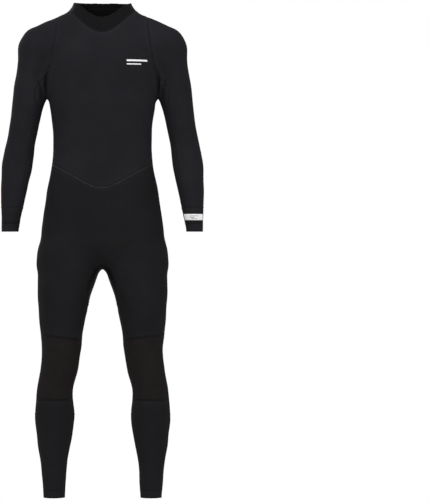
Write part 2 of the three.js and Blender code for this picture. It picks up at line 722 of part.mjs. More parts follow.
// The lower leg's back: an outer calf panel, a zip panel and an inner calf panel around the ankle zip
function buildCalves() {
  const surfaceAt = (height) => {
    const origin = new THREE.Vector3(lowerAxis(height * growHeight), 0, height * growHeight);
    return cast(origin, around(ankleZipAngle), -ankleZipDepth);
  };
  const foot = surfaceAt(ankleZip.bottom);
  const top = surfaceAt(ankleZip.top);
  const frame = zipFrame(foot, top, around(ankleZipAngle));
  const across = new THREE.Vector3().setFromMatrixColumn(frame, 0);
  const lateral = (point) => point.clone().sub(foot).dot(across);
  const calfRay = lowerRay(flat(ankleHem - seamGap / 2 / growHeight), flat(calfSeam), seamGap / 2);
  const slotAt = (height) => {
    const share = THREE.MathUtils.clamp((calfSeam - height / growHeight) / slotTaper, 0, 1);
    return mix(seamGap, ankleZip.slot, share);
  };
  const towardsInner = Math.sign(lateral(lowerPoint(170)));
  function lowerPoint(angle) {
    const { origin, direction } = calfRay(angle, 0.5);
    return cast(origin, direction, 0);
  }
  const clearOuter = (point) => lateral(point) * towardsInner < -slotAt(point.z);
  const clearInner = (point) => lateral(point) * towardsInner > slotAt(point.z);
  const rows = [0, 0.14, 0.28, 0.42, 0.56, 0.7, 0.8, 0.897, 1];
  const seamTurn = THREE.MathUtils.radToDeg(seamGap / 2 / calfRadius);
  const calf = { rows, ray: calfRay, levels: skin };
  const outerEdges = () => [0, 90 - seamTurn];
  addPair('calf_panel', sheet({ ...calf, columns: 6, edges: outerEdges }), neoprene);
  const zipEdges = (row, level) => [90 + seamTurn, edgeAngle(91, 180, calfRay, row, level, clearOuter)];
  addPair('calf_zip_panel', sheet({ ...calf, columns: 3, edges: zipEdges }), neoprene);
  const innerEdges = (row, level) => [edgeAngle(180, 91, calfRay, row, level, clearInner), 180];
  addPair('inner_calf_panel', sheet({ ...calf, columns: 4, edges: innerEdges }), neoprene);

  const { halfAngle } = ankleFlap;
  const flapLow = (angle) => {
    const share = Math.min(Math.abs(angle - ankleZipAngle) / halfAngle, 1);
    return ankleFlap.point + ankleFlap.shoulder * share;
  };
  const flapRay = (angle, row) => {
    const height = mix(flapLow(angle), ankleFlap.top, row) * growHeight;
    return { origin: new THREE.Vector3(lowerAxis(height), 0, height), direction: around(angle) };
  };
  const flapLevels = [ankleFlap.outer, ankleFlap.inner];
  const flapEdges = () => [ankleZipAngle - halfAngle, ankleZipAngle + halfAngle];
  const flap = { columns: 4, rows: spread(5), edges: flapEdges, ray: flapRay, levels: flapLevels };
  addPair('ankle_zip_flap', sheet(flap), smoothNeoprene);

  const length = top.distanceTo(foot);
  buildZip('left_ankle_zip', ankleZip, frame, length, ankleSliderRest, ['a', 'b']);
  const flip = (point) => new THREE.Vector3(-point.x, point.y, point.z);
  const rightFrame = zipFrame(flip(foot), flip(top), flip(around(ankleZipAngle)));
  buildZip('right_ankle_zip', ankleZip, rightFrame, length, ankleSliderRest, ['b', 'a']);
}

// The leash is flat webbing that hangs from the back zip's pull
function buildLeash() {
  const points = leashRoute.map(([x, y, h]) => new THREE.Vector3(x, y * growGirth, h * growHeight));
  const route = new THREE.CatmullRomCurve3(points);
  const halfWidth = leashWidth / 2;
  const halfThick = leashThickness / 2;
  const edge = halfWidth - halfThick;
  const section = outline([
    [0, -halfWidth], [-halfThick, -edge], [-halfThick, edge],
    [0, halfWidth], [halfThick, edge], [halfThick, -edge],
  ]);
  const strap = new THREE.ExtrudeGeometry(section, { steps: 24, extrudePath: route, bevelEnabled: false });
  add('pull_leash', closed(strap), webbing);
}

buildTrunk();
buildLowerBody();
buildGusset();
buildArms();
buildNeck();
buildBackZip();
buildCalves();
buildLeash();

export default suit;
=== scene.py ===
import math

import bmesh
import bpy
import numpy as np
from bpy.props import FloatProperty, FloatVectorProperty, PointerProperty
from mathutils import Matrix, Vector
from mathutils.kdtree import KDTree


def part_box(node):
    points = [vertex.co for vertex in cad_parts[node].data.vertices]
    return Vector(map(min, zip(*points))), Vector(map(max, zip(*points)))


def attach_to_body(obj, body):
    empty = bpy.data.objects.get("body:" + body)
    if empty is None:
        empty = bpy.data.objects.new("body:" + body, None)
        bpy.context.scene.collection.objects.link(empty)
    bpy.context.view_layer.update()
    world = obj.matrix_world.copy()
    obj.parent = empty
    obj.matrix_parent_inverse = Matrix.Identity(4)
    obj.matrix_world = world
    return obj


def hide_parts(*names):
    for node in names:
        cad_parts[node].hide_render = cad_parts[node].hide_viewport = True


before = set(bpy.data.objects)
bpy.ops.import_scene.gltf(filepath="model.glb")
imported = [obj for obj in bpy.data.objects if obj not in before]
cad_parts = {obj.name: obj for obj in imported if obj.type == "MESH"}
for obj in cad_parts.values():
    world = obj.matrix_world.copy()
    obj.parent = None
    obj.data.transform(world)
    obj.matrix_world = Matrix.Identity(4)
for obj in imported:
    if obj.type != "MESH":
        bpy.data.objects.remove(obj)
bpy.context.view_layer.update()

bl_info = {
    "name": "Full wetsuit",
    "version": (1, 0, 0),
    "blender": (4, 5, 0),
    "location": "View3D > Sidebar > Wetsuit",
    "description": "Builds a full-length back-zip wetsuit around its packed frame",
    "category": "Object",
}

# The height of the ankle hem in the part's frame: pattern heights are measured up from it
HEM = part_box("left_shin_panel")[0].z

# Body sections of the pattern, in metres: height, centre x, half width, front y, back y
TRUNK = [
    (0.640, 0, 0.190, -0.076, 0.092),
    (0.700, 0, 0.187, -0.082, 0.104),
    (0.780, 0, 0.179, -0.090, 0.112),
    (0.850, 0, 0.170, -0.094, 0.103),
    (0.905, 0, 0.161, -0.097, 0.092),
    (0.973, 0, 0.148, -0.098, 0.084),
    (1.030, 0, 0.1435, -0.100, 0.0853),
    (1.105, 0, 0.148, -0.107, 0.087),
    (1.172, 0, 0.158, -0.113, 0.0886),
    (1.250, 0, 0.160, -0.110, 0.0904),
    (1.320, 0, 0.140, -0.092, 0.092),
    (1.362, 0, 0.118, -0.074, 0.093),
    (1.400, 0, 0.100, -0.064, 0.090),
]
NECK = [
    (1.300, 0, 0.096, -0.072, 0.084),
    (1.350, 0, 0.096, -0.072, 0.086),
    (1.380, 0, 0.094, -0.068, 0.084),
    (1.405, 0, 0.090, -0.062, 0.079),
    (1.430, 0, 0.085, -0.055, 0.073),
    (1.455, 0, 0.082, -0.050, 0.068),
    (1.480, 0, 0.081, -0.048, 0.066),
]
ARM = [
    (0.760, 0.270, 0.025, -0.050, 0.008),
    (0.782, 0.2695, 0.025, -0.050, 0.008),
    (0.840, 0.265, 0.031, -0.050, 0.018),
    (0.900, 0.259, 0.038, -0.048, 0.032),
    (0.958, 0.252, 0.044, -0.045, 0.045),
    (0.987, 0.2485, 0.0445, -0.042, 0.050),
    (1.046, 0.2385, 0.0425, -0.036, 0.056),
    (1.105, 0.227, 0.043, -0.040, 0.060),
    (1.172, 0.215, 0.0485, -0.047, 0.062),
    (1.250, 0.200, 0.052, -0.052, 0.064),
    (1.322, 0.182, 0.060, -0.054, 0.068),
    (1.360, 0.176, 0.060, -0.054, 0.068),
]
LEG = [
    (-0.030, 0.1425, 0.031, -0.034, 0.050),
    (0.000, 0.1425, 0.0315, -0.034, 0.052),
    (0.050, 0.1425, 0.0345, -0.032, 0.054),
    (0.108, 0.1435, 0.0395, -0.033, 0.058),
    (0.167, 0.142, 0.050, -0.038, 0.067),
    (0.240, 0.1405, 0.0575, -0.047, 0.076),
    (0.313, 0.140, 0.052, -0.052, 0.068),
    (0.372, 0.1275, 0.0545, -0.060, 0.056),
    (0.430, 0.120, 0.056, -0.070, 0.056),
    (0.489, 0.1195, 0.0625, -0.078, 0.066),
    (0.583, 0.113, 0.076, -0.090, 0.086),
    (0.671, 0.0995, 0.0895, -0.091, 0.098),
    (0.760, 0.095, 0.084, -0.086, 0.104),
]

# Creases where the suit folds: start, end (x outwards, y, pattern height), depth, width
CREASES = [
    ((0.168, -0.026, 1.172), (0.150, -0.086, 1.292), 0.0075, 0.0060),
    ((0.178, -0.026, 1.166), (0.198, -0.050, 1.240), 0.0035, 0.0055),
    ((0.158, 0.000, 1.150), (0.118, -0.085, 1.185), 0.0014, 0.0070),
    ((0.168, 0.038, 1.176), (0.152, 0.080, 1.290), 0.0060, 0.0060),
    ((0.160, 0.030, 1.150), (0.112, 0.082, 1.130), 0.0014, 0.0080),
    ((0.205, -0.038, 1.050), (0.262, -0.034, 1.068), 0.0018, 0.0055),
    ((0.208, -0.040, 1.022), (0.270, -0.032, 1.030), 0.0022, 0.0060),
    ((0.214, -0.038, 0.996), (0.280, -0.030, 0.990), 0.0014, 0.0055),
    ((0.148, -0.020, 1.010), (0.060, -0.098, 0.992), 0.0012, 0.0080),
    ((0.148, 0.020, 1.040), (0.070, 0.080, 1.012), 0.0016, 0.0080),
    ((0.146, 0.018, 0.998), (0.050, 0.088, 0.968), 0.0020, 0.0090),
    ((0.030, 0.100, 0.700), (0.150, 0.075, 0.690), 0.0032, 0.0080),
    ((0.060, 0.092, 0.672), (0.165, 0.050, 0.655), 0.0014, 0.0080),
    ((0.030, -0.080, 0.706), (0.120, -0.090, 0.752), 0.0020, 0.0075),
    ((0.036, -0.078, 0.672), (0.100, -0.092, 0.690), 0.0013, 0.0070),
    ((0.080, 0.050, 0.446), (0.165, 0.046, 0.452), 0.0020, 0.0055),
    ((0.078, 0.050, 0.418), (0.165, 0.050, 0.414), 0.0026, 0.0060),
    ((0.085, 0.055, 0.386), (0.170, 0.052, 0.392), 0.0016, 0.0055),
    ((0.112, -0.030, 0.046), (0.172, -0.030, 0.052), 0.0010, 0.0045),
    ((0.112, 0.045, 0.040), (0.172, 0.048, 0.034), 0.0012, 0.0045),
]


def section_at(sections, height):
    """The pattern's section at each height, on a smooth curve through the listed ones."""
    table = np.array(sections, float)
    h = np.clip(height, table[0, 0], table[-1, 0])
    low = np.clip(np.searchsorted(table[:, 0], h, side="right") - 1, 0, len(table) - 2)
    span = (table[low + 1, 0] - table[low, 0])[..., None]
    s = (h - table[low, 0])[..., None] / span

    def slope(index):
        before = table[np.clip(index - 1, 0, len(table) - 1)]
        after = table[np.clip(index + 1, 0, len(table) - 1)]
        return (after - before) / (after[..., :1] - before[..., :1])

    start = (2 * s**3 - 3 * s**2 + 1) * table[low] + (s**3 - 2 * s**2 + s) * span * slope(low)
    end = (3 * s**2 - 2 * s**3) * table[low + 1] + (s**3 - s**2) * span * slope(low + 1)
    return np.moveaxis((start + end)[..., 1:], -1, 0)


def blended(a, b, width):
    return np.minimum(a, b) - np.maximum(width - np.abs(a - b), 0) ** 2 / (4 * width)


def trimmed(a, b, width):
    return np.maximum(a, b) + np.maximum(width - np.abs(a - b), 0) ** 2 / (4 * width)


def tube_distance(sections, squareness, x, y, h):
    centre, half_width, front, back = section_at(sections, h)
    half_depth = (back - front) / 2
    across = np.abs(x - centre) / half_width
    deep = np.abs(y - (front + back) / 2) / half_depth
    size = (across**squareness + deep**squareness + 1e-9) ** (1 / squareness)
    power = squareness - 1
    steepness = np.hypot(across**power / half_width, deep**power / half_depth)
    return (size - 1) / np.maximum(size ** (1 - squareness) * steepness, 1.0)


def ball_distance(centre, radii, x, y, h):
    scaled = [(x - centre[0]) / radii[0], (y - centre[1]) / radii[1], (h - centre[2]) / radii[2]]
    size = np.sqrt(sum(value**2 for value in scaled)) + 1e-6
    steepness = np.sqrt(sum((value / radius) ** 2 for value, radius in zip(scaled, radii))) / size
    return (size - 1) / np.maximum(steepness, 1.0)


def shoulder_distance(x, y, h):
    lean, drop = 0.184 - 0.040, 1.323 - 1.392
    off_x, off_y, off_h = x - 0.040, (y - 0.0095) / 1.06, h - 1.392
    along = np.clip((off_x * lean + off_h * drop) / (lean**2 + drop**2), 0, 1)
    radius = 0.050 + 0.008 * along
    return np.sqrt((off_x - along * lean) ** 2 + off_y**2 + (off_h - along * drop) ** 2) - radius


def body_distance(points):
    """Signed distance to the suit's outer surface, negative inside."""
    x, y, h = np.abs(points[:, 0]), points[:, 1], points[:, 2] - HEM
    trunk = trimmed(tube_distance(TRUNK, 2.3, x, y, h), h - 1.378, 0.050)
    trunk = trimmed(trunk, 0.671 + y * y / 0.130 - h, 0.026)
    neck = trimmed(tube_distance(NECK, 2, x, y, h), 1.330 - h, 0.030)
    arm = trimmed(tube_distance(ARM, 2, x, y, h), h - 1.330, 0.030)
    leg = trimmed(tube_distance(LEG, 2, x, y, h), h - 0.750, 0.040)
    blade = ball_distance((0.078, 0.038, 1.255), (0.072, 0.072, 0.110), x, y, h)
    chest = ball_distance((0.066, -0.058, 1.262), (0.074, 0.060, 0.076), x, y, h)
    seat = ball_distance((0.076, 0.046, 0.768), (0.080, 0.076, 0.092), x, y, h)
    distance = blended(blended(trunk, blade, 0.030), chest, 0.030)
    distance = blended(distance, shoulder_distance(x, y, h), 0.034)
    distance = blended(blended(distance, neck, 0.034), arm, 0.024)
    return blended(blended(distance, seat, 0.036), leg, 0.024)


def body_normal(points):
    step = 0.0004
    slopes = []
    for axis in range(3):
        shift = np.zeros(3)
        shift[axis] = step
        slopes.append(body_distance(points + shift) - body_distance(points - shift))
    normal = np.stack(slopes, axis=1)
    return normal / np.maximum(np.linalg.norm(normal, axis=1, keepdims=True), 1e-12)


def folds(points):
    """How far the cloth stands out or sinks in at each point: creases and a slow unevenness."""
    x, y, h = np.abs(points[:, 0]), points[:, 1], points[:, 2] - HEM
    here = np.stack([x, y, h], axis=1)
    height = 0.0006 * np.sin(x * 61 + y * 23 + h * 37) * np.sin(y * 47 - h * 29 + 1.3)
    height += 0.0005 * np.sin(points[:, 0] * 97 + h * 71 + 0.7) * np.sin(y * 83 + h * 19)
    for start, end, depth, width in CREASES:
        a, b = np.array(start), np.array(end)
        span = b - a
        along = np.clip((here - a) @ span / (span @ span), 0, 1)
        gap = here - a - along[:, None] * span
        bow = 0.004 * np.sin(along * math.pi)
        away = np.sqrt((gap**2).sum(1) + 1e-12) - bow * np.sign(gap[:, 2])
        fade = np.sin(np.clip(along, 0.04, 0.96) * math.pi) ** 0.6
        groove = np.exp(-((away / width) ** 2)) - 0.7 * np.exp(-(((away - 2.1 * width) / (1.3 * width)) ** 2))
        height -= depth * fade * groove
    return height


def settled(points, level, fold_share=1.0):
    """Points moved along the surface normal until they lie at their level above the folded surface."""
    points = np.array(points, float)
    target = level + fold_share * folds(points)
    for _ in range(3):
        points = points + body_normal(points) * (target - body_distance(points))[:, None]
    return points


# Mesh helpers

def select_only(*objects):
    bpy.ops.object.select_all(action="DESELECT")
    for item in objects:
        item.select_set(True)
    bpy.context.view_layer.objects.active = objects[0]


def new_object(name, mesh):
    made = bpy.data.objects.new(name, mesh)
    bpy.context.scene.collection.objects.link(made)
    return made


def attach(piece, body, finish, slot, *nodes):
    """Gives a finished piece its material and body, and hides the CAD nodes it stands for. The slot is not
    used.
    """
    piece.data.materials.clear()
    piece.data.materials.append(finish)
    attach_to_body(piece, body)
    if nodes:
        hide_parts(*nodes)
    return piece


def merged_copy(node):
    bm = bmesh.new()
    bm.from_mesh(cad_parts[node].data)
    bmesh.ops.remove_doubles(bm, verts=bm.verts, dist=1e-5)
    return bm


def coordinates(bm):
    return np.array([v.co[:] for v in bm.verts], float)


def outer_rim(node):
    """The closed line round a panel's outer face, as points a few millimetres apart."""
    bm = merged_copy(node)
    level = body_distance(coordinates(bm))
    middle = (level.max() + level.min()) / 2
    outer = {v.index for v in bm.verts if level[v.index] > middle}
    faces = {f.index for f in bm.faces if all(v.index in outer for v in f.verts)}
    links = {}
    for edge in bm.edges:
        if sum(f.index in faces for f in edge.link_faces) == 1:
            a, b = (v.index for v in edge.verts)
            links.setdefault(a, []).append(b)
            links.setdefault(b, []).append(a)
    place = {v.index: np.array(v.co) for v in bm.verts}
    bm.free()
    loops = []
    unused = set(links)
    while unused:
        first = min(unused)
        loop = [first]
        unused.discard(first)
        onward = [n for n in links[first] if n in unused]
        while onward:
            loop.append(onward[0])
            unused.discard(onward[0])
            onward = [n for n in links[loop[-1]] if n in unused]
        loops.append(resampled([place[i] for i in loop + [first]], 0.003)[:-1])
    return max(loops, key=len)


def resampled(points, spacing):
    points = np.array(points, float)
    steps = np.linalg.norm(np.diff(points, axis=0), axis=1)
    travelled = np.concatenate([[0], np.cumsum(steps)])
    count = max(int(round(travelled[-1] / spacing)), 2)
    wanted = np.linspace(0, travelled[-1], count + 1)
    return np.stack([np.interp(wanted, travelled, points[:, axis]) for axis in range(3)], axis=1)


def eased(path, rounds, looped=False):
    """A path with its small corners rounded off, its ends kept."""
    path = np.array(path, float)
    for _ in range(rounds):
        if looped:
            path = (np.roll(path, 1, 0) + 2 * path + np.roll(path, -1, 0)) / 4
        else:
            path[1:-1] = (path[:-2] + 2 * path[1:-1] + path[2:]) / 4
    return path


RIMS = {}


def rim_of(node):
    if node not in RIMS:
        RIMS[node] = outer_rim(node)
    return RIMS[node]


def seam_runs(node, neighbours, reach=0.006):
    """The stretches of a panel's rim that lie against its neighbours' rims."""
    rim = rim_of(node)
    others = np.concatenate([rim_of(other) for other in neighbours])
    tree = KDTree(len(others))
    for i, point in enumerate(others):
        tree.insert(point, i)
    tree.balance()
    near = np.array([tree.find(point)[2] < reach for point in rim])
    if near.all():
        return [(rim, True)]
    start = int(np.argmin(near))
    order = np.roll(np.arange(len(rim)), -start)
    runs = []
    current = []
    for index in list(order) + [order[0]]:
        if near[index]:
            current.append(rim[index])
        else:
            if len(current) > 8:
                runs.append((np.array(current), False))
            current = []
    return runs


def swept(bm, path, profile, looped=False, facing=None, widths=None):
    """Adds a closed strip along a path on the body: profile is (across, up) pairs, in order round it."""
    path = np.array(path, float)
    if looped:
        tangent = np.roll(path, -1, 0) - np.roll(path, 1, 0)
    else:
        tangent = np.gradient(path, axis=0)
    tangent /= np.linalg.norm(tangent, axis=1, keepdims=True)
    normal = body_normal(path) if facing is None else np.tile(facing, (len(path), 1))
    side = np.cross(tangent, normal)
    side /= np.maximum(np.linalg.norm(side, axis=1, keepdims=True), 1e-9)
    up = np.cross(side, tangent)
    layer = bm.loops.layers.uv.get("UVMap") or bm.loops.layers.uv.new("UVMap")
    rings = []
    for point, s, u, width in zip(path, side, up, np.ones(len(path)) if widths is None else widths):
        rings.append([bm.verts.new(point + s * a * width + u * b) for a, b in profile])
    steps = np.linalg.norm(np.diff(np.vstack([path, path[:1]]), axis=0), axis=1)
    travelled = np.concatenate([[0], np.cumsum(steps)])
    wide = [a for a, _ in profile]
    share = [(a - min(wide)) / (max(wide) - min(wide)) for a in wide]
    pairs = list(range(len(rings))) if looped else list(range(len(rings) - 1))
    for i in pairs:
        nearer, further = rings[i], rings[(i + 1) % len(rings)]
        for j in range(len(profile)):
            k = (j + 1) % len(profile)
            face = bm.faces.new([nearer[j], nearer[k], further[k], further[j]])
            values = [(share[j], travelled[i]), (share[k], travelled[i]),
                      (share[k], travelled[i + 1]), (share[j], travelled[i + 1])]
            for loop, uv in zip(face.loops, values):
                loop[layer].uv = uv
    if not looped:
        bm.faces.new(rings[0])
        bm.faces.new(rings[-1][::-1])


def finished_mesh(bm, name, angle=50.0):
    bmesh.ops.recalc_face_normals(bm, faces=bm.faces)
    mesh = bpy.data.meshes.new(name)
    bm.to_mesh(mesh)
    bm.free()
    made = new_object(name, mesh)
    select_only(made)
    bpy.ops.object.shade_smooth_by_angle(angle=math.radians(angle))
    return made


def lens_profile(half_width, height, sink=0.0006):
    return [(-half_width, -sink), (-0.8 * half_width, 0.55 * height), (-0.35 * half_width, height),
            (0.35 * half_width, height), (0.8 * half_width, 0.55 * height), (half_width, -sink)]


def seam_piece(name, pairs, half_width, height, finish):
    """One strip of stitching that covers the gap between panels, along every listed pair of them."""
    bm = bmesh.new()
    for node, neighbours in pairs:
        for run, looped in seam_runs(node, neighbours):
            path = settled(eased(run, 10, looped), 0.0)
            swept(bm, path, lens_profile(half_width, height), looped)
    piece = finished_mesh(bm, name)
    return attach(piece, "suit", finish, "lined_neoprene")


def panel(node, body, finish, slot, cuts=4, fold_share=1.0, pucker=0.0005, raise_by=0.0):
    """A fine neoprene panel in place of a CAD one: its faces follow the body, its folds and its own seams."""
    bm = merged_copy(node)
    level = bm.verts.layers.float.new("level")
    for vertex, value in zip(bm.verts, body_distance(coordinates(bm))):
        vertex[level] = value
    bmesh.ops.subdivide_edges(bm, edges=bm.edges[:], cuts=cuts, use_grid_fill=True)
    points = coordinates(bm)
    levels = np.array([v[level] for v in bm.verts])
    rim = rim_of(node)
    tree = KDTree(len(rim))
    for i, point in enumerate(rim):
        tree.insert(point, i)
    tree.balance()
    nearest = np.array([tree.find(point)[2] for point in points])
    flatness = np.exp(-((nearest / 0.006) ** 2))
    rippling = np.exp(-nearest / 0.010) * np.sin(points @ np.array([310.0, 290.0, 330.0]))
    target = levels + raise_by * (1 - flatness) - pucker * (flatness + 0.5 * rippling)
    points = settled(points, target, fold_share)
    for vertex, point in zip(bm.verts, points):
        vertex.co = point
    mesh = bpy.data.meshes.new(node)
    bm.to_mesh(mesh)
    bm.free()
    piece = new_object("cloth_" + node, mesh)
    near_rim = mesh.attributes.new("near_rim", "FLOAT", "POINT")
    near_rim.data.foreach_set("value", np.exp(-nearest / 0.008).astype(np.float32))
    select_only(piece)
    bpy.ops.object.shade_smooth_by_angle(angle=math.radians(50))
    attach(piece, body, finish, slot, node)
    return piece


# Materials

class Wire:
    """A shader socket that Python's own operators work on."""

    def __init__(self, finish, socket):
        self.finish = finish
        self.socket = socket

    def join(self, operation, first, second):
        return self.finish.node("Math", {"operation": operation}, {0: first, 1: second})

    def __add__(self, other):
        return self.join("ADD", self, other)

    __radd__ = __add__

    def __sub__(self, other):
        return self.join("SUBTRACT", self, other)

    def __rsub__(self, other):
        return self.join("SUBTRACT", other, self)

    def __mul__(self, other):
        return self.join("MULTIPLY", self, other)

    __rmul__ = __mul__

    def __truediv__(self, other):
        return self.join("DIVIDE", self, other)

    def __lt__(self, other):
        return self.join("LESS_THAN", self, other)

    def __gt__(self, other):
        return self.join("GREATER_THAN", self, other)

    def __abs__(self):
        return self.finish.node("Math", {"operation": "ABSOLUTE"}, {0: self})

    def repeat(self):
        return self.finish.node("Math", {"operation": "FRACT"}, {0: self})


class Finish:
    """A material being built: constants go on the shader, and patterns come from nodes."""

    def __init__(self, name, **constants):
        self.material = bpy.data.materials.new(name)
        self.material.use_nodes = True
        self.tree = self.material.node_tree
        self.shader = self.tree.nodes["Principled BSDF"]
        for socket, value in constants.items():
            self.shader.inputs[socket.replace("_", " ")].default_value = value

    def node(self, kind, settings=None, values=None, output=0):
        made = self.tree.nodes.new("ShaderNode" + kind)
        for key, value in (settings or {}).items():
            if key == "stops":
                for stop, (place, shade) in zip(made.color_ramp.elements, value):
                    stop.position = place
                    stop.color = (shade, shade, shade, 1)
            else:
                setattr(made, key, value)
        for key, value in (values or {}).items():
            self.feed(made.inputs[key], value)
        return Wire(self, made.outputs[output])

    def feed(self, socket, value):
        if isinstance(value, Wire):
            self.tree.links.new(value.socket, socket)
        else:
            socket.default_value = value

    def set(self, socket, value):
        self.feed(self.shader.inputs[socket], value)

    def place(self, scale=1.0):
        spot = self.node("TexCoord", output=3)
        return self.node("Mapping", None, {"Vector": spot, "Scale": (scale, scale, scale)})

    def noise(self, scale, detail=3.0, roughness=0.55):
        return self.node("TexNoise", None, {"Vector": self.place(), "Scale": scale, "Detail": detail,
                                            "Roughness": roughness})

    def cells(self, scale):
        return self.node("TexVoronoi", None, {"Vector": self.place(), "Scale": scale})

    def uv(self):
        """The piece's own map: across it from 0 to 1, and along it in metres."""
        spot = self.node("UVMap", {"uv_map": "UVMap"})
        split = self.tree.nodes.new("ShaderNodeSeparateXYZ")
        self.tree.links.new(spot.socket, split.inputs[0])
        return Wire(self, split.outputs[0]), Wire(self, split.outputs[1])

    def shades(self, amount, dark, light):
        return self.node("Mix", {"data_type": "RGBA"}, {0: amount, 6: (*dark, 1), 7: (*light, 1)}, output=2)

    def bump(self, height, distance, strength=1.0):
        values = {"Height": height, "Distance": distance, "Strength": strength}
        self.set("Normal", self.node("Bump", None, values))


def jersey(name, dark, light, pitch, roughness=0.78):
    """Fine knitted lining on foam: rows of tiny loops and paler wear beside the seams."""
    made = Finish(name, Specular_IOR_Level=0.015)
    loops = made.cells(1 / pitch)
    cloud = made.noise(9.0)
    fine = made.noise(160.0, 2.0)
    worn = made.node("Attribute", {"attribute_name": "near_rim"}, output=2)
    amount = cloud * 0.55 + fine * 0.25 + worn * 0.3 - 0.1 + loops * 0.18
    made.set("Base Color", made.shades(amount, dark, light))
    made.set("Roughness", roughness + 0.14 * fine - 0.05 * worn)
    made.bump(loops * 0.7 + fine * 0.8, 0.0003, 0.6)
    return made.material


def smooth_skin(name, dark, light):
    """Smooth-skin foam: faint pores and a low gloss."""
    made = Finish(name, Specular_IOR_Level=0.025)
    pores = made.cells(900.0)
    cloud = made.noise(14.0)
    rub = made.noise(70.0, 4.0)
    made.set("Base Color", made.shades(cloud * 0.6 + rub * 0.35, dark, light))
    made.set("Roughness", 0.56 + 0.22 * rub)
    made.bump(pores * 0.5 + rub * 0.6, 0.00025, 0.5)
    return made.material


def knee_rubber(name, dark, light):
    """Hard-wearing knee panels: a small raised grid and scuffed high spots."""
    made = Finish(name, Specular_IOR_Level=0.02)
    studs = made.cells(300.0)
    scuff = made.noise(38.0, 5.0)
    grid = studs < 0.42
    made.set("Base Color", made.shades(scuff * 0.6 + grid * 0.15, dark, light))
    made.set("Roughness", 0.86 + 0.1 * scuff)
    made.bump(grid * 0.8 + scuff * 0.4, 0.0004, 0.7)
    return made.material


def stitched(name, dark, light, pitch):
    """A blind-stitched seam: glue line, and a zigzag of thread with a twist in it."""
    made = Finish(name, Specular_IOR_Level=0.03)
    across, along = made.uv()
    zigzag = abs((along * (1 / pitch)).repeat() * 2.0 - 1.0)
    thread = abs(across - (zigzag * 0.56 + 0.22)) < 0.09
    edge = abs(across - 0.5) > 0.36
    twist = (along * (6 / pitch)).repeat()
    fuzz = made.noise(220.0, 2.0)
    made.set("Base Color", made.shades(thread * (0.6 + 0.3 * twist) + edge * 0.25 + fuzz * 0.2, dark, light))
    made.set("Roughness", 0.62 + 0.25 * fuzz)
    made.bump(thread * 0.8 + fuzz * 0.2, 0.0004, 0.8)
    return made.material


def webbing(name, dark, light, printed=None):
    """Woven strap: ribs across it, selvedges, and where it is printed, plain pale blocks in groups."""
    made = Finish(name, Sheen_Weight=0.03, Specular_IOR_Level=0.15)
    across, along = made.uv()
    ribs = abs((along * 700.0).repeat() * 2.0 - 1.0)
    cords = abs((across * 9.0).repeat() * 2.0 - 1.0)
    fuzz = made.noise(240.0, 2.0)
    ground = made.shades(ribs * cords * 0.6 + fuzz * 0.4, dark, light)
    if printed:
        group = abs((along * (1 / 0.152)).repeat() - 0.42) < 0.27
        bar = (along * (1 / 0.0092)).repeat() < 0.46
        middle = abs(across - 0.5) < 0.27
        mark = group * bar * middle
        ground = made.node("Mix", {"data_type": "RGBA"}, {0: mark, 6: ground, 7: (*printed, 1)}, output=2)
    made.set("Base Color", ground)
    made.set("Roughness", 0.7 + 0.2 * fuzz)
    made.bump(ribs * 0.6 + cords * 0.5, 0.0003, 0.7)
    return made.material


def tape_cloth(name, dark, light):
    """Zip tape: a fine herringbone."""
    made = Finish(name, Sheen_Weight=0.1, Specular_IOR_Level=0.3)
    weave = made.node("TexWave", {"wave_type": "BANDS", "bands_direction": "DIAGONAL"},
                      {"Vector": made.place(), "Scale": 420.0, "Distortion": 1.5}, output=1)
    fuzz = made.noise(200.0, 2.0)
    made.set("Base Color", made.shades(weave * 0.5 + fuzz * 0.4, dark, light))
    made.set("Roughness", 0.74 + 0.18 * fuzz)
    made.bump(weave, 0.0003, 0.6)
    return made.material


def satin_metal(name, dark, light, rough):
    """Satin hardware: brushed streaks, and darker staining."""
    made = Finish(name, Metallic=1.0)
    streak = made.node("TexNoise", None, {"Vector": made.place(), "Scale": 900.0, "Detail": 2.0})
    stain = made.noise(120.0, 4.0)
    made.set("Base Color", made.shades(stain * 0.7 + streak * 0.3, dark, light))
    made.set("Roughness", rough + 0.2 * stain)
    made.bump(streak, 0.00008, 0.4)
    return made.material


def moulded(name, dark, light, rough=0.4):
    """Moulded plastic: a faint orange peel and handling marks."""
    made = Finish(name, Specular_IOR_Level=0.5)
    peel = made.noise(600.0, 2.0)
    marks = made.noise(90.0, 4.0)
    made.set("Base Color", made.shades(marks * 0.7 + peel * 0.2, dark, light))
    made.set("Roughness", rough + 0.2 * marks)
    made.bump(peel, 0.0001, 0.5)
    return made.material


def pale_film(name, tone):
    """Heat-pressed pale film: fine cracks and a trace of the knit below."""
    made = Finish(name, Specular_IOR_Level=0.35)
    knit = made.cells(900.0)
    cracks = made.noise(420.0, 3.0)
    darker = tuple(0.72 * value for value in tone)
    made.set("Base Color", made.shades(cracks * 0.8 + knit * 0.4, darker, tone))
    made.set("Roughness", 0.5 + 0.2 * cracks)
    made.bump(knit, 0.0002, 0.4)
    return made.material


def pile(name, dark, light):
    """Hook-and-loop tape: a dense tangle of loops."""
    made = Finish(name, Sheen_Weight=0.06, Specular_IOR_Level=0.1)
    tuft = made.cells(1300.0)
    tangle = made.noise(420.0, 4.0)
    made.set("Base Color", made.shades(tuft * 0.6 + tangle * 0.5, dark, light))
    made.set("Roughness", 0.85 + 0.1 * tangle)
    made.bump(tuft + tangle, 0.0006, 0.9)
    return made.material


FINISHES = {}


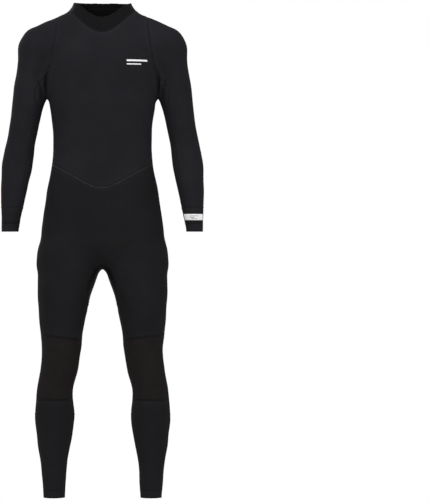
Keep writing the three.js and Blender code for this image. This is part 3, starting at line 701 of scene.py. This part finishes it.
def finish_of(name):
    """The named finish, made the first time it is asked for."""
    look = bpy.context.scene.wetsuit_look
    makers = {
        "lining": lambda: jersey("fine jersey lining", look.lining_dark, look.lining_light, 0.0011),
        "lower_lining": lambda: jersey("lower body jersey", look.lower_dark, look.lower_light, 0.0011),
        "skin": lambda: smooth_skin("smooth skin foam", look.skin_dark, look.skin_light),
        "knee": lambda: knee_rubber("knee panel rubber", look.knee_dark, look.knee_light),
        "seam": lambda: stitched("pale-stitched seam", look.skin_dark, look.thread, 0.0042),
        "upper_seam": lambda: stitched("upper seam", look.lining_dark, look.lining_light, 0.0042),
        "quiet_seam": lambda: stitched("dark-stitched seam", look.lower_dark, look.skin_light, 0.0042),
        "binding": lambda: jersey("bound edge", look.skin_dark, look.lining_light, 0.0009),
        "leash": lambda: webbing("leash webbing", look.skin_dark, look.skin_light, look.film),
        "tape": lambda: tape_cloth("zip tape", look.skin_dark, look.lining_light),
        "teeth": lambda: moulded("moulded zip teeth", look.skin_dark, look.lining_light),
        "metal": lambda: satin_metal("dark zip hardware", (0.035, 0.035, 0.037), (0.11, 0.11, 0.115), 0.34),
        "hook": lambda: pile("hook and loop tape", look.skin_dark, look.skin_light),
        "film": lambda: pale_film("pale pressed film", look.film),
    }
    if name not in FINISHES:
        FINISHES[name] = makers[name]()
    return FINISHES[name]


# Sizes and colours a user would change

def tone(name, default):
    return FloatVectorProperty(name=name, description=name + " colour", default=default, subtype="COLOR",
                               min=0, max=1)


class WetsuitLook(bpy.types.PropertyGroup):
    lining_dark: tone("Dark upper lining", (0.0072, 0.0071, 0.0085))
    lining_light: tone("Light upper lining", (0.0168, 0.0163, 0.0190))
    lower_dark: tone("Dark lower lining", (0.0059, 0.0059, 0.0066))
    lower_light: tone("Light lower lining", (0.0136, 0.0136, 0.0147))
    skin_dark: tone("Dark smooth skin", (0.0029, 0.0029, 0.0033))
    skin_light: tone("Light smooth skin", (0.0072, 0.0072, 0.0078))
    knee_dark: tone("Dark knee", (0.0072, 0.0065, 0.0064))
    knee_light: tone("Light knee", (0.0156, 0.0141, 0.0135))
    thread: tone("Seam thread", (0.0620, 0.0620, 0.0650))
    film: tone("Pale film", (0.68, 0.68, 0.68))


class WetsuitSizes(bpy.types.PropertyGroup):
    seam_width: FloatProperty(name="Seam width", description="Width of a stitched seam", default=0.0052,
                              unit="LENGTH")
    seam_height: FloatProperty(name="Seam height", description="Height of a stitched seam", default=0.0004,
                               unit="LENGTH")
    hem_stitch: FloatProperty(name="Hem stitch", description="Height of the hem stitch above a hem",
                              default=0.024, unit="LENGTH")
    leash_width: FloatProperty(name="Leash width", description="Width of the pull leash", default=0.015,
                               unit="LENGTH")
    leash_thickness: FloatProperty(name="Leash thickness", description="Thickness of the pull leash",
                                   default=0.002, unit="LENGTH")


SIDES = ("left", "right")


class WETSUIT_OT_stage(bpy.types.Operator):
    """Make the plain white surroundings, the lights and the camera"""

    bl_idname = "wetsuit.stage"
    bl_label = "Stage"

    def execute(self, context):
        world = context.scene.world or bpy.data.worlds.new("Studio")
        context.scene.world = world
        world.use_nodes = True
        background = world.node_tree.nodes["Background"]
        background.inputs[0].default_value = (1, 1, 1, 1)
        background.inputs[1].default_value = 1.0
        for name, place, size, power in [
            ("key_light", (-2.2, -3.4, 1.2), 2.4, 60),
            ("fill_light", (2.6, -3.0, 0.2), 2.4, 40),
            ("top_light", (0.0, -0.6, 2.4), 2.0, 28),
            ("back_light", (-2.0, 2.6, 0.8), 2.4, 55),
        ]:
            bpy.ops.object.light_add(type="AREA", location=place)
            light = context.object
            light.name = name
            light.data.size = size
            light.data.energy = power
            light.rotation_euler = (Vector((0, 0, -0.55)) - Vector(place)).to_track_quat("-Z", "Y").to_euler()

        frame_height = 1.465
        distance = 10.0
        centre_height = HEM + 0.725
        aside = 0.328
        bpy.ops.object.camera_add(location=(aside, -distance, centre_height), rotation=(math.pi / 2, 0, 0))
        camera = context.object
        camera.data.sensor_width = 36.0
        camera.data.lens = 36.0 * distance / frame_height
        camera.data.clip_end = 60.0
        context.scene.camera = camera
        context.scene.view_settings.view_transform = "Standard"
        return {"FINISHED"}


class WETSUIT_OT_leash(bpy.types.Operator):
    """Make the pull leash: flat webbing that hangs down the back"""

    bl_idname = "wetsuit.leash"
    bl_label = "Pull leash"

    def execute(self, context):
        sizes = context.scene.wetsuit_sizes
        route = [(0.000, 0.1005, 1.296), (0.006, 0.1025, 1.260), (0.0085, 0.1075, 1.220),
                 (0.009, 0.1155, 1.180), (0.010, 0.1248, 1.140), (0.011, 0.1275, 1.100),
                 (0.013, 0.126, 1.020), (0.015, 0.1248, 0.965), (0.021, 0.1248, 0.920),
                 (0.034, 0.1262, 0.876), (0.050, 0.1273, 0.836)]
        points = np.array([(x, y, h + HEM) for x, y, h in route])
        path = smooth_line(points, 100)
        half_width, half_thick = sizes.leash_width / 2, sizes.leash_thickness / 2
        edge = half_width - half_thick
        profile = [(-half_width, 0), (-edge, -half_thick), (0, -half_thick), (edge, -half_thick),
                   (half_width, 0), (edge, half_thick), (0, half_thick), (-edge, half_thick)]
        outwards = np.array([0.12, 1.0, 0.0])
        taper = np.interp(np.arange(len(path)), [0, 2, len(path) - 9, len(path) - 1], [0.75, 1, 1, 0.5])
        bm = bmesh.new()
        swept(bm, path, profile, facing=outwards, widths=taper)
        strap = finished_mesh(bm, "leash_strap")
        attach(strap, "back_zip_pull_body", finish_of("leash"), "leash_webbing", "pull_leash")
        bm = bmesh.new()
        swept(bm, path[-9:], [(a * 1.05, b * 1.6) for a, b in profile], facing=outwards, widths=taper[-9:])
        tip = finished_mesh(bm, "leash_end_fold")
        attach(tip, "back_zip_pull_body", finish_of("binding"), "leash_webbing")
        bm = bmesh.new()
        swept(bm, path[:5], [(a * 1.06, b * 1.7) for a, b in profile], facing=outwards, widths=taper[:5])
        hem = finished_mesh(bm, "leash_top_fold")
        attach(hem, "back_zip_pull_body", finish_of("binding"), "leash_webbing")
        x, y, z = path[0]
        low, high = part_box("back_zip_pull")
        inner, outer, top, bottom = low.y - 0.0014, high.y + 0.0014, low.z + 0.0094, z - 0.0035
        middle = (inner + outer) / 2
        corners = [(inner, top - 0.002), (middle, top), (outer, top - 0.002), (outer, (top + bottom) / 2),
                   (y + 0.0004, bottom), (inner, (top + bottom) / 2)]
        loop = smooth_loop(np.array([(x, a, b) for a, b in corners]), 48)
        bm = bmesh.new()
        swept(bm, loop, oval(0.0009, 0.0009), looped=True, facing=np.array([1.0, 0.0, 0.0]))
        link = finished_mesh(bm, "leash_link_cord")
        attach(link, "back_zip_pull_body", finish_of("binding"), "leash_webbing")
        return {"FINISHED"}


def smooth_loop(points, count):
    """A closed smooth line through a few points, evenly stepped."""
    return smooth_line(points, count, np.vstack([points[-1:], points, points[:2]]))[:-1]


def smooth_line(points, count, padded=None):
    """A smooth line through a few points, evenly stepped."""
    if padded is None:
        padded = np.vstack([2 * points[0] - points[1], points, 2 * points[-1] - points[-2]])
    line = []
    for i in range(1, len(padded) - 2):
        a, b, c, d = padded[i - 1:i + 3]
        for t in np.linspace(0, 1, 24, endpoint=False):
            line.append(0.5 * (2 * b + (c - a) * t + (2 * a - 5 * b + 4 * c - d) * t**2
                               + (3 * b - a - 3 * c + d) * t**3))
    line.append(padded[-2])
    line = np.array(line)
    return resampled(line, np.linalg.norm(np.diff(line, axis=0), axis=1).sum() / count)


class WETSUIT_OT_panels(bpy.types.Operator):
    """Make the neoprene panels"""

    bl_idname = "wetsuit.panels"
    bl_label = "Neoprene panels"

    def execute(self, context):
        for node, finish in (("front_torso_panel", "lining"), ("front_leg_panel", "lower_lining")):
            panel(node, "suit", finish_of(finish), "lined_neoprene")
        panel("crotch_gusset", "suit", finish_of("skin"), "smooth_neoprene")
        for side in SIDES:
            for part in ("back_panel", "sleeve", "underarm_panel"):
                panel(f"{side}_{part}", "suit", finish_of("lining"), "lined_neoprene")
            for part in ("seat_leg_panel", "shin_panel", "calf_panel", "calf_zip_panel", "inner_calf_panel"):
                panel(f"{side}_{part}", "suit", finish_of("lower_lining"), "lined_neoprene")
            panel(f"{side}_cuff", "suit", finish_of("lining"), "smooth_neoprene")
            panel(f"{side}_knee_panel", "suit", finish_of("knee"), "knee_neoprene", raise_by=0.0008)
            panel(f"{side}_ankle_zip_flap", "suit", finish_of("skin"), "smooth_neoprene", cuts=2)
        return {"FINISHED"}


class WETSUIT_OT_collar(bpy.types.Operator):
    """Make the collar, its wrap and patches, the bib and the flap behind the zip"""

    bl_idname = "wetsuit.collar"
    bl_label = "Collar and neck closure"

    def execute(self, context):
        panel("collar_band", "suit", finish_of("skin"), "smooth_neoprene")
        panel("neck_bib", "suit", finish_of("skin"), "smooth_neoprene")
        panel("zip_backing_flap", "suit", finish_of("skin"), "smooth_neoprene", cuts=2)
        panel("collar_loop_patch", "suit", finish_of("hook"), "hook_and_loop", cuts=2, pucker=0.0)
        panel("collar_hook_patch", "collar_wrap_body", finish_of("hook"), "hook_and_loop", cuts=2, pucker=0.0)
        panel("collar_wrap", "collar_wrap_body", finish_of("skin"), "smooth_neoprene")
        return {"FINISHED"}


def zip_frame(row_a, row_b):
    """A zip's own frame, found from its two rows: X across the chain, Y up along it, Z outwards."""
    ends = []
    for pick in (min, max):
        corners = []
        for row in (row_a, row_b):
            bm = merged_copy(row)
            points = sorted(coordinates(bm), key=lambda point: point[2])
            bm.free()
            corners += points[:4] if pick is min else points[-4:]
        ends.append(np.mean(corners, axis=0))
    foot, top = ends
    up = Vector(top - foot).normalized()
    low_a, high_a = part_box(row_a)
    low_b, high_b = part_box(row_b)
    side = Vector(low_a) + Vector(high_a) - Vector(low_b) - Vector(high_b)
    across = (side - up * side.dot(up)).normalized()
    out = across.cross(up)
    basis = Matrix((across, up, out)).transposed().to_4x4()
    return Matrix.Translation(Vector(foot)) @ basis, float(np.linalg.norm(top - foot))


def set_in_place(piece, name, place):
    """Moves a piece made at the origin into its frame, with its place in its mesh."""
    piece.name = name
    piece.data.name = name
    piece.data.transform(place)
    if place.determinant() < 0:
        piece.data.flip_normals()
    piece.data.update()
    return piece


def block(size, centre):
    """A box primitive in edit mode, at its size and place, with nothing else selected."""
    bpy.ops.object.select_all(action="DESELECT")
    bpy.ops.mesh.primitive_cube_add(size=1, location=(0, 0, 0))
    made = bpy.context.object
    made.scale = size
    made.location = centre
    bpy.ops.object.transform_apply(location=True, rotation=False, scale=True)
    return made


def pick_faces(piece, chosen):
    """Selects in edit mode the faces that a test picks out by their centre and normal."""
    bpy.ops.mesh.select_all(action="DESELECT")
    bpy.ops.mesh.select_mode(type="FACE")
    bm = bmesh.from_edit_mesh(piece.data)
    for face in bm.faces:
        face.select_set(bool(chosen(face.calc_center_median(), face.normal)))
    bmesh.update_edit_mesh(piece.data)


def apply_bevel(piece, width, segments=2, limit=0.6):
    bevel = piece.modifiers.new("rounding", "BEVEL")
    bevel.width = width
    bevel.segments = segments
    bevel.limit_method = "ANGLE"
    bevel.angle_limit = limit
    select_only(piece)
    bpy.ops.object.modifier_apply(modifier=bevel.name)
    bpy.ops.object.shade_smooth_by_angle(angle=math.radians(40))


def tooth_row(name, place, length, sign, inner, outer, thickness, pitch, offset, finish, node):
    """One moulded tooth, shaped and repeated along the tape's edge."""
    depth = outer - inner
    tooth = block((depth, 0.62 * pitch, 0.8 * thickness), (inner + depth / 2, 0, 0))
    bpy.ops.object.mode_set(mode="EDIT")
    pick_faces(tooth, lambda centre, normal: normal.x < -0.5)
    bpy.ops.mesh.inset(thickness=0.12 * pitch, depth=0)
    bpy.ops.mesh.extrude_region_move(TRANSFORM_OT_translate={"value": (-0.0002, 0, 0)})
    pick_faces(tooth, lambda centre, normal: abs(normal.z) > 0.5)
    bpy.ops.mesh.inset(thickness=0.14 * pitch, depth=0)
    bpy.ops.transform.resize(value=(0.9, 0.8, 1.25))
    bpy.ops.object.mode_set(mode="OBJECT")
    count = int((length - pitch) / pitch)
    array = tooth.modifiers.new("row", "ARRAY")
    array.count = count
    array.use_relative_offset = False
    array.use_constant_offset = True
    array.constant_offset_displace = (0, pitch, 0)
    select_only(tooth)
    bpy.ops.object.modifier_apply(modifier=array.name)
    start = Matrix.Translation((0, pitch * (0.5 + offset), 0))
    flip = Matrix.Diagonal((sign, 1, 1, 1))
    set_in_place(tooth, name, place @ flip @ start)
    bpy.ops.object.shade_smooth_by_angle(angle=math.radians(30))
    return attach(tooth, "suit", finish, "zip_teeth", node)


def zip_slider(name, place, foot, size, body, finish, node):
    """A slider: a shield-shaped top plate, an under plate, the web between them and the pull's bridge."""
    width, length, plate, hollow, web, bridge, rise = size
    middle = foot + length / 2
    top = block((width, length, plate), (0, middle, hollow + plate / 2))
    bpy.ops.object.mode_set(mode="EDIT")
    bpy.ops.mesh.select_all(action="SELECT")
    bpy.ops.mesh.subdivide(number_cuts=3)
    bm = bmesh.from_edit_mesh(top.data)
    for vertex in bm.verts:
        down = (middle - vertex.co.y) / length + 0.5
        vertex.co.x *= 1.0 - 0.30 * max(down - 0.45, 0) - 0.45 * max(0.26 - down, 0)
    bmesh.update_edit_mesh(top.data)
    pick_faces(top, lambda centre, normal: normal.z > 0.5 and abs(centre.x) < width * 0.3
               and abs(centre.y - middle) < length * 0.3)
    bpy.ops.mesh.inset(thickness=plate * 0.5, depth=0)
    bpy.ops.mesh.extrude_region_move(TRANSFORM_OT_translate={"value": (0, 0, -plate * 0.3)})
    bpy.ops.object.mode_set(mode="OBJECT")
    apply_bevel(top, plate * 0.28, 2)
    parts = [top]
    under = block((width * 0.94, length * 0.96, plate), (0, middle, -hollow - plate / 2))
    apply_bevel(under, plate * 0.3, 2)
    parts.append(under)
    post = block((web, length * 0.42, 2 * hollow + plate), (0, foot + length * 0.77, 0))
    apply_bevel(post, web * 0.25, 2)
    parts.append(post)
    face = hollow + plate
    arch = block((2 * bridge, length * 0.62, rise), (0, foot + length * 0.62, face + rise / 2 - 0.0002))
    bpy.ops.object.mode_set(mode="EDIT")
    pick_faces(arch, lambda centre, normal: abs(normal.x) > 0.5)
    bpy.ops.mesh.inset(thickness=rise * 0.2, depth=-rise * 0.08)
    bpy.ops.object.mode_set(mode="OBJECT")
    apply_bevel(arch, rise * 0.2, 3)
    parts.append(arch)
    select_only(*parts)
    bpy.ops.object.join()
    set_in_place(top, name, place)
    return attach(top, body, finish, "zip_metal", node)


def zip_pull(name, place, hinge, size, body, finish, node):
    """A pull tab: two arms either side of the bridge and a broad grip."""
    width, length, thickness, fork, slot, lift = size
    tab = block((width, length, thickness), (0, hinge + 0.0012 - length / 2, lift + thickness / 2))
    bpy.ops.object.mode_set(mode="EDIT")
    bpy.ops.mesh.select_all(action="SELECT")
    for edge in (-fork, fork):
        bpy.ops.mesh.select_all(action="SELECT")
        bpy.ops.mesh.bisect(plane_co=(edge, 0, 0), plane_no=(1, 0, 0))
    bpy.ops.mesh.select_all(action="SELECT")
    bpy.ops.mesh.bisect(plane_co=(0, hinge - slot, 0), plane_no=(0, 1, 0))
    pick_faces(tab, lambda centre, normal: abs(centre.x) < fork * 0.9 and centre.y > hinge - slot)
    bpy.ops.mesh.delete(type="FACE")
    bm = bmesh.from_edit_mesh(tab.data)
    bmesh.ops.holes_fill(bm, edges=[edge for edge in bm.edges if edge.is_boundary], sides=0)
    bmesh.update_edit_mesh(tab.data)
    bpy.ops.object.mode_set(mode="OBJECT")
    apply_bevel(tab, thickness * 0.3, 3)
    set_in_place(tab, name, place)
    return attach(tab, body, finish, "zip_metal", node)


def stop_piece(name, place, size, finish, node):
    """A bottom stop: a small staple pressed over both tapes."""
    width, thickness = size
    stop = block((width, 0.004, thickness), (0, -0.0023, 0))
    bpy.ops.object.mode_set(mode="EDIT")
    pick_faces(stop, lambda centre, normal: normal.z > 0.5)
    bpy.ops.mesh.inset(thickness=0.0008, depth=-0.0003)
    bpy.ops.object.mode_set(mode="OBJECT")
    apply_bevel(stop, 0.0004, 2)
    set_in_place(stop, name, place)
    return attach(stop, "suit", finish, "zip_metal", node)


def tape_piece(name, place, length, sign, low, high, thickness, finish, node):
    """Woven tape beside the teeth, with a bead along the edge that the teeth grip."""
    bpy.ops.object.select_all(action="DESELECT")
    width = high - low
    tape = block((width, length, thickness), (low + width / 2, length / 2, 0))
    bpy.ops.object.mode_set(mode="EDIT")
    bpy.ops.mesh.select_all(action="SELECT")
    for share in (0.05, 0.12, 0.9):
        bpy.ops.mesh.select_all(action="SELECT")
        bpy.ops.mesh.bisect(plane_co=(low + share * width, 0, 0), plane_no=(1, 0, 0))
    pick_faces(tape, lambda centre, normal: normal.z > 0.5 and centre.x < low + 0.12 * width)
    bpy.ops.mesh.extrude_region_move(TRANSFORM_OT_translate={"value": (0, 0, 0.25 * thickness)})
    bpy.ops.object.mode_set(mode="OBJECT")
    apply_bevel(tape, 0.12 * thickness, 2)
    set_in_place(tape, name, place @ Matrix.Diagonal((sign, 1, 1, 1)))
    return attach(tape, "suit", finish, "zip_tape", node)


class WETSUIT_OT_back_zip(bpy.types.Operator):
    """Make the back zip: its teeth, tapes, slider, pull and bottom stop"""

    bl_idname = "wetsuit.back_zip"
    bl_label = "Back zip"

    def execute(self, context):
        place, length = zip_frame("back_zip_teeth_right", "back_zip_teeth_left")
        for side, sign, offset in (("right", 1, 0.0), ("left", -1, 0.5)):
            tooth_row(f"back_teeth_{side}", place, length, sign, 0.0010, 0.0049, 0.0024, 0.0030, offset,
                      finish_of("teeth"), f"back_zip_teeth_{side}")
            tape_piece(f"back_tape_{side}", place, length, sign, 0.0052, 0.0097, 0.0012, finish_of("tape"),
                       f"back_zip_tape_{side}")
        foot = length - 0.016
        zip_slider("back_slider", place, foot, (0.013, 0.028, 0.0016, 0.0015, 0.0012, 0.0015, 0.0040),
                   "back_zip_slider_body", finish_of("metal"), "back_zip_slider")
        zip_pull("back_pull_tab", place, foot + 0.025, (0.011, 0.0372, 0.0016, 0.0018, 0.028, 0.0045),
                 "back_zip_pull_body", finish_of("metal"), "back_zip_pull")
        stop_piece("back_stop", place, (0.0098, 0.0024), finish_of("metal"), "back_zip_bottom_stop")
        return {"FINISHED"}


class WETSUIT_OT_ankle_zips(bpy.types.Operator):
    """Make both ankle zips"""

    bl_idname = "wetsuit.ankle_zips"
    bl_label = "Ankle zips"

    def execute(self, context):
        for side in SIDES:
            first, second = ("a", "b") if side == "left" else ("b", "a")
            name = f"{side}_ankle_zip"
            place, length = zip_frame(f"{name}_teeth_{first}", f"{name}_teeth_{second}")
            for row, sign, offset in ((first, 1, 0.0), (second, -1, 0.5)):
                tooth_row(f"{side}_ankle_teeth_{row}", place, length, sign, 0.0009, 0.0032, 0.0020, 0.0022,
                          offset, finish_of("teeth"), f"{name}_teeth_{row}")
                tape_piece(f"{side}_ankle_tape_{row}", place, length, sign, 0.0035, 0.0092, 0.0010,
                           finish_of("tape"), f"{name}_tape_{row}")
            zip_slider(f"{side}_ankle_slider_piece", place, 0.003,
                       (0.009, 0.016, 0.0013, 0.0013, 0.0010, 0.0015, 0.0037),
                       f"{side}_ankle_slider_body", finish_of("metal"), f"{name}_slider")
            zip_pull(f"{side}_ankle_pull_tab", place, 0.016, (0.007, 0.0212, 0.0013, 0.0018, 0.016, 0.0040),
                     f"{side}_ankle_pull_body", finish_of("metal"), f"{name}_pull")
            stop_piece(f"{side}_ankle_stop", place, (0.0064, 0.0020), finish_of("metal"),
                       f"{name}_bottom_stop")
        return {"FINISHED"}


class WETSUIT_OT_seams(bpy.types.Operator):
    """Lay the stitched seams over the gaps between the panels"""

    bl_idname = "wetsuit.seams"
    bl_label = "Stitched seams"

    def execute(self, context):
        sizes = context.scene.wetsuit_sizes
        half, height = sizes.seam_width / 2, sizes.seam_height
        pale, upper, quiet = finish_of("seam"), finish_of("upper_seam"), finish_of("quiet_seam")
        upper_parts = ("side", "armhole", "underarm", "cuff")
        seam_piece("seam_waist_front", [("front_torso_panel", ["front_leg_panel"])], 0.7 * half, height, pale)
        around_neck = ["front_torso_panel", "left_back_panel", "right_back_panel"]
        seam_piece("seam_neck", [("collar_band", around_neck)], half, height, quiet)
        seam_piece("seam_centre_back", [("left_seat_leg_panel", ["right_seat_leg_panel"]),
                                        ("left_back_panel", ["right_back_panel"])], half, height, quiet)
        seam_piece("seam_gusset", [("crotch_gusset", ["front_leg_panel", "left_seat_leg_panel",
                                                      "right_seat_leg_panel"])], half, height, quiet)
        for side in SIDES:
            calf = [f"{side}_calf_panel", f"{side}_calf_zip_panel", f"{side}_inner_calf_panel"]
            arm = [f"{side}_sleeve", f"{side}_underarm_panel"]
            seat, shin, knee = f"{side}_seat_leg_panel", f"{side}_shin_panel", f"{side}_knee_panel"
            groups = {
                "waist_back": [(f"{side}_back_panel", [seat])],
                "side": [(f"{side}_back_panel", ["front_torso_panel"])],
                "leg": [(seat, ["front_leg_panel"]), (seat, [knee]), (seat, [shin]), (shin, calf)],
                "knee_top": [(knee, ["front_leg_panel"])],
                "knee_bottom": [(knee, [shin])],
                "calf": [(seat, calf)],
                "calf_back": [(calf[0], [calf[1]])],
                "armhole": [("front_torso_panel", arm), (f"{side}_back_panel", arm)],
                "underarm": [(arm[1], [arm[0]])],
                "cuff": [(f"{side}_cuff", arm)],
            }
            for part, pairs in groups.items():
                finish = pale if part == "waist_back" else upper if part in upper_parts else quiet
                seam_piece(f"seam_{side}_{part}", pairs, half, height, finish)
        return {"FINISHED"}


def ring_at(side, height, sections, count=90):
    """A level ring round a limb at a pattern height, on the suit's surface."""
    centre, half_width, front, back = section_at(sections, np.array([height]))
    turn = np.linspace(0, 2 * math.pi, count, endpoint=False)
    x = (centre[0] + half_width[0] * np.cos(turn)) * (1 if side == "left" else -1)
    y = (front[0] + back[0]) / 2 + (back[0] - front[0]) / 2 * np.sin(turn)
    return level_line(np.stack([x, y, np.full(count, height + HEM)], axis=1), 0.0)


def level_line(path, level, fold_share=1.0):
    """A path put on the surface at a level, each point kept at its own height."""
    path = np.array(path, float)
    heights = path[:, 2].copy()
    for _ in range(3):
        path = settled(path, level, fold_share)
        path[:, 2] = heights
    return path


def strip_piece(name, paths, profile, body, finish, slot):
    """Closed strips along paths on the body: each path comes with whether it is a loop."""
    bm = bmesh.new()
    for path, looped in paths:
        swept(bm, path, profile, looped)
    return attach(finished_mesh(bm, name), body, finish_of(finish), slot)


def oval(half_across, half_up, centre_up=0.0, sides=8):
    turns = [2 * math.pi * i / sides for i in range(sides)]
    return [(half_across * math.cos(turn), centre_up + half_up * math.sin(turn)) for turn in turns]


class WETSUIT_OT_edges(bpy.types.Operator):
    """Finish the edges: rolled hems, the collar's bound rim and the stitch lines beside the hems and the back
    zip
    """

    bl_idname = "wetsuit.edges"
    bl_label = "Hems and stitch lines"

    def execute(self, context):
        sizes = context.scene.wetsuit_sizes
        cuff_hem, ankle_hem = 0.779, 0.0
        line = lens_profile(0.0009, 0.0005, 0.0004)
        for side in SIDES:
            rim = ring_at(side, cuff_hem + 0.0006, ARM)
            strip_piece(f"{side}_cuff_rolled_hem", [(rim, True)], oval(0.0011, 0.0015, -0.0012), "suit",
                        "binding", "smooth_neoprene")
            rows = [(ring_at(side, cuff_hem + sizes.hem_stitch + step, ARM), True) for step in (0, 0.004)]
            strip_piece(f"{side}_cuff_hem_stitch", rows, line, "suit", "quiet_seam", "smooth_neoprene")
            ankle = ring_at(side, ankle_hem + sizes.hem_stitch, LEG)
            gap = ankle_gap(side, ankle)
            strip_piece(f"{side}_ankle_hem_stitch", [(gap, False)], line, "suit", "quiet_seam",
                        "lined_neoprene")
            hem_rim = ankle_gap(side, ring_at(side, ankle_hem + 0.0006, LEG))
            strip_piece(f"{side}_ankle_rolled_hem", [(hem_rim, False)], oval(0.0012, 0.0018, -0.0015), "suit",
                        "binding", "lined_neoprene")
        rim = rim_of("collar_band")
        seam = np.concatenate([rim_of(node) for node in ("front_torso_panel", "left_back_panel",
                                                         "right_back_panel")])
        tree = KDTree(len(seam))
        for i, point in enumerate(seam):
            tree.insert(point, i)
        tree.balance()
        free = np.array([tree.find(point)[2] > 0.012 for point in rim])
        order = np.roll(np.arange(len(rim)), -int(np.argmin(free)))
        top = eased(rim[[i for i in order if free[i]]], 3)
        top = settled(top, 0.0, 0.0)
        strip_piece("collar_bound_rim", [(top, False)], oval(0.0012, 0.0019, -0.0015, 10), "suit", "binding",
                    "smooth_neoprene")
        zip_lines = []
        for x in (-0.0125, 0.0125, -0.0165, 0.027):
            heights = np.linspace(0.968, 1.352, 130)
            path = np.stack([np.full(130, x), np.full(130, 0.09), heights + HEM], axis=1)
            zip_lines.append((level_line(path, 0.0), False))
        strip_piece("back_zip_stitch_lines", zip_lines, line, "suit", "seam", "lined_neoprene")
        return {"FINISHED"}


def ankle_gap(side, ring):
    """The ring without its points over the ankle zip's slot, in order from one edge of it to the other."""
    name = f"{side}_ankle_zip"
    low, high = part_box(f"{name}_bottom_stop")
    middle = (np.array(low) + np.array(high)) / 2
    away = np.hypot(ring[:, 0] - middle[0], ring[:, 1] - middle[1])
    start = int(np.argmin(away))
    ordered = np.roll(ring, -start, axis=0)
    distances = np.hypot(ordered[:, 0] - middle[0], ordered[:, 1] - middle[1])
    return ordered[distances > 0.0105]


class WETSUIT_OT_marks(bpy.types.Operator):
    """Add the plain pale marks on the chest and the cuff label"""

    bl_idname = "wetsuit.marks"
    bl_label = "Pale marks"

    def execute(self, context):
        panel("wrist_label", "suit", finish_of("film"), "label_print", cuts=3, pucker=0.0, fold_share=0.0)
        height = HEM + 1.2745
        for name, low, high, drop, half in [("chest_mark_long", 0.072, 0.147, 0.0, 0.0026),
                                            ("chest_mark_short", 0.072, 0.112, 0.0105, 0.0017)]:
            line = [(x, -0.10, height - drop) for x in np.linspace(low, high, 60)]
            strip_piece(name, [(level_line(line, 0.0001), False)], film_profile(half), "suit", "film",
                        "label_print")
        lines = []
        for h, low, high in ((0.8245, -110, -60), (0.8205, -112, -84), (0.8175, -100, -66)):
            turn = np.radians(np.linspace(low, high, 30))
            x, y = 0.266 + 0.028 * np.cos(turn), -0.016 + 0.033 * np.sin(turn)
            path = level_line(np.stack([x, y, np.full(30, h + HEM)], axis=1), 0.0015, 0.0)
            lines.append((path, False))
        strip_piece("wrist_label_lines", lines, film_profile(0.0006), "suit", "skin", "label_print")
        return {"FINISHED"}


def film_profile(half):
    return [(-half, -0.0003), (-half, 0.00015), (half, 0.00015), (half, -0.0003)]


CLASSES = (WetsuitLook, WetsuitSizes, WETSUIT_OT_stage, WETSUIT_OT_leash, WETSUIT_OT_panels,
           WETSUIT_OT_collar, WETSUIT_OT_back_zip, WETSUIT_OT_ankle_zips, WETSUIT_OT_seams,
           WETSUIT_OT_edges, WETSUIT_OT_marks)


class WETSUIT_PT_builder(bpy.types.Panel):
    """The sizes, the colours and the steps that build the suit"""

    bl_label = "Wetsuit"
    bl_idname = "WETSUIT_PT_builder"
    bl_space_type = "VIEW_3D"
    bl_region_type = "UI"
    bl_category = "Wetsuit"

    def draw(self, context):
        for group in (context.scene.wetsuit_sizes, context.scene.wetsuit_look):
            for name in group.__annotations__:
                self.layout.prop(group, name)
        for step in CLASSES[2:]:
            self.layout.operator(step.bl_idname)


def register():
    for item in (*CLASSES, WETSUIT_PT_builder):
        bpy.utils.register_class(item)
    bpy.types.Scene.wetsuit_look = PointerProperty(type=WetsuitLook)
    bpy.types.Scene.wetsuit_sizes = PointerProperty(type=WetsuitSizes)


def unregister():
    del bpy.types.Scene.wetsuit_sizes
    del bpy.types.Scene.wetsuit_look
    for item in reversed((*CLASSES, WETSUIT_PT_builder)):
        bpy.utils.unregister_class(item)


def main():
    register()
    for step in CLASSES[2:]:
        group, name = step.bl_idname.split(".")
        getattr(getattr(bpy.ops, group), name)()


if __name__ == "__main__":
    main()
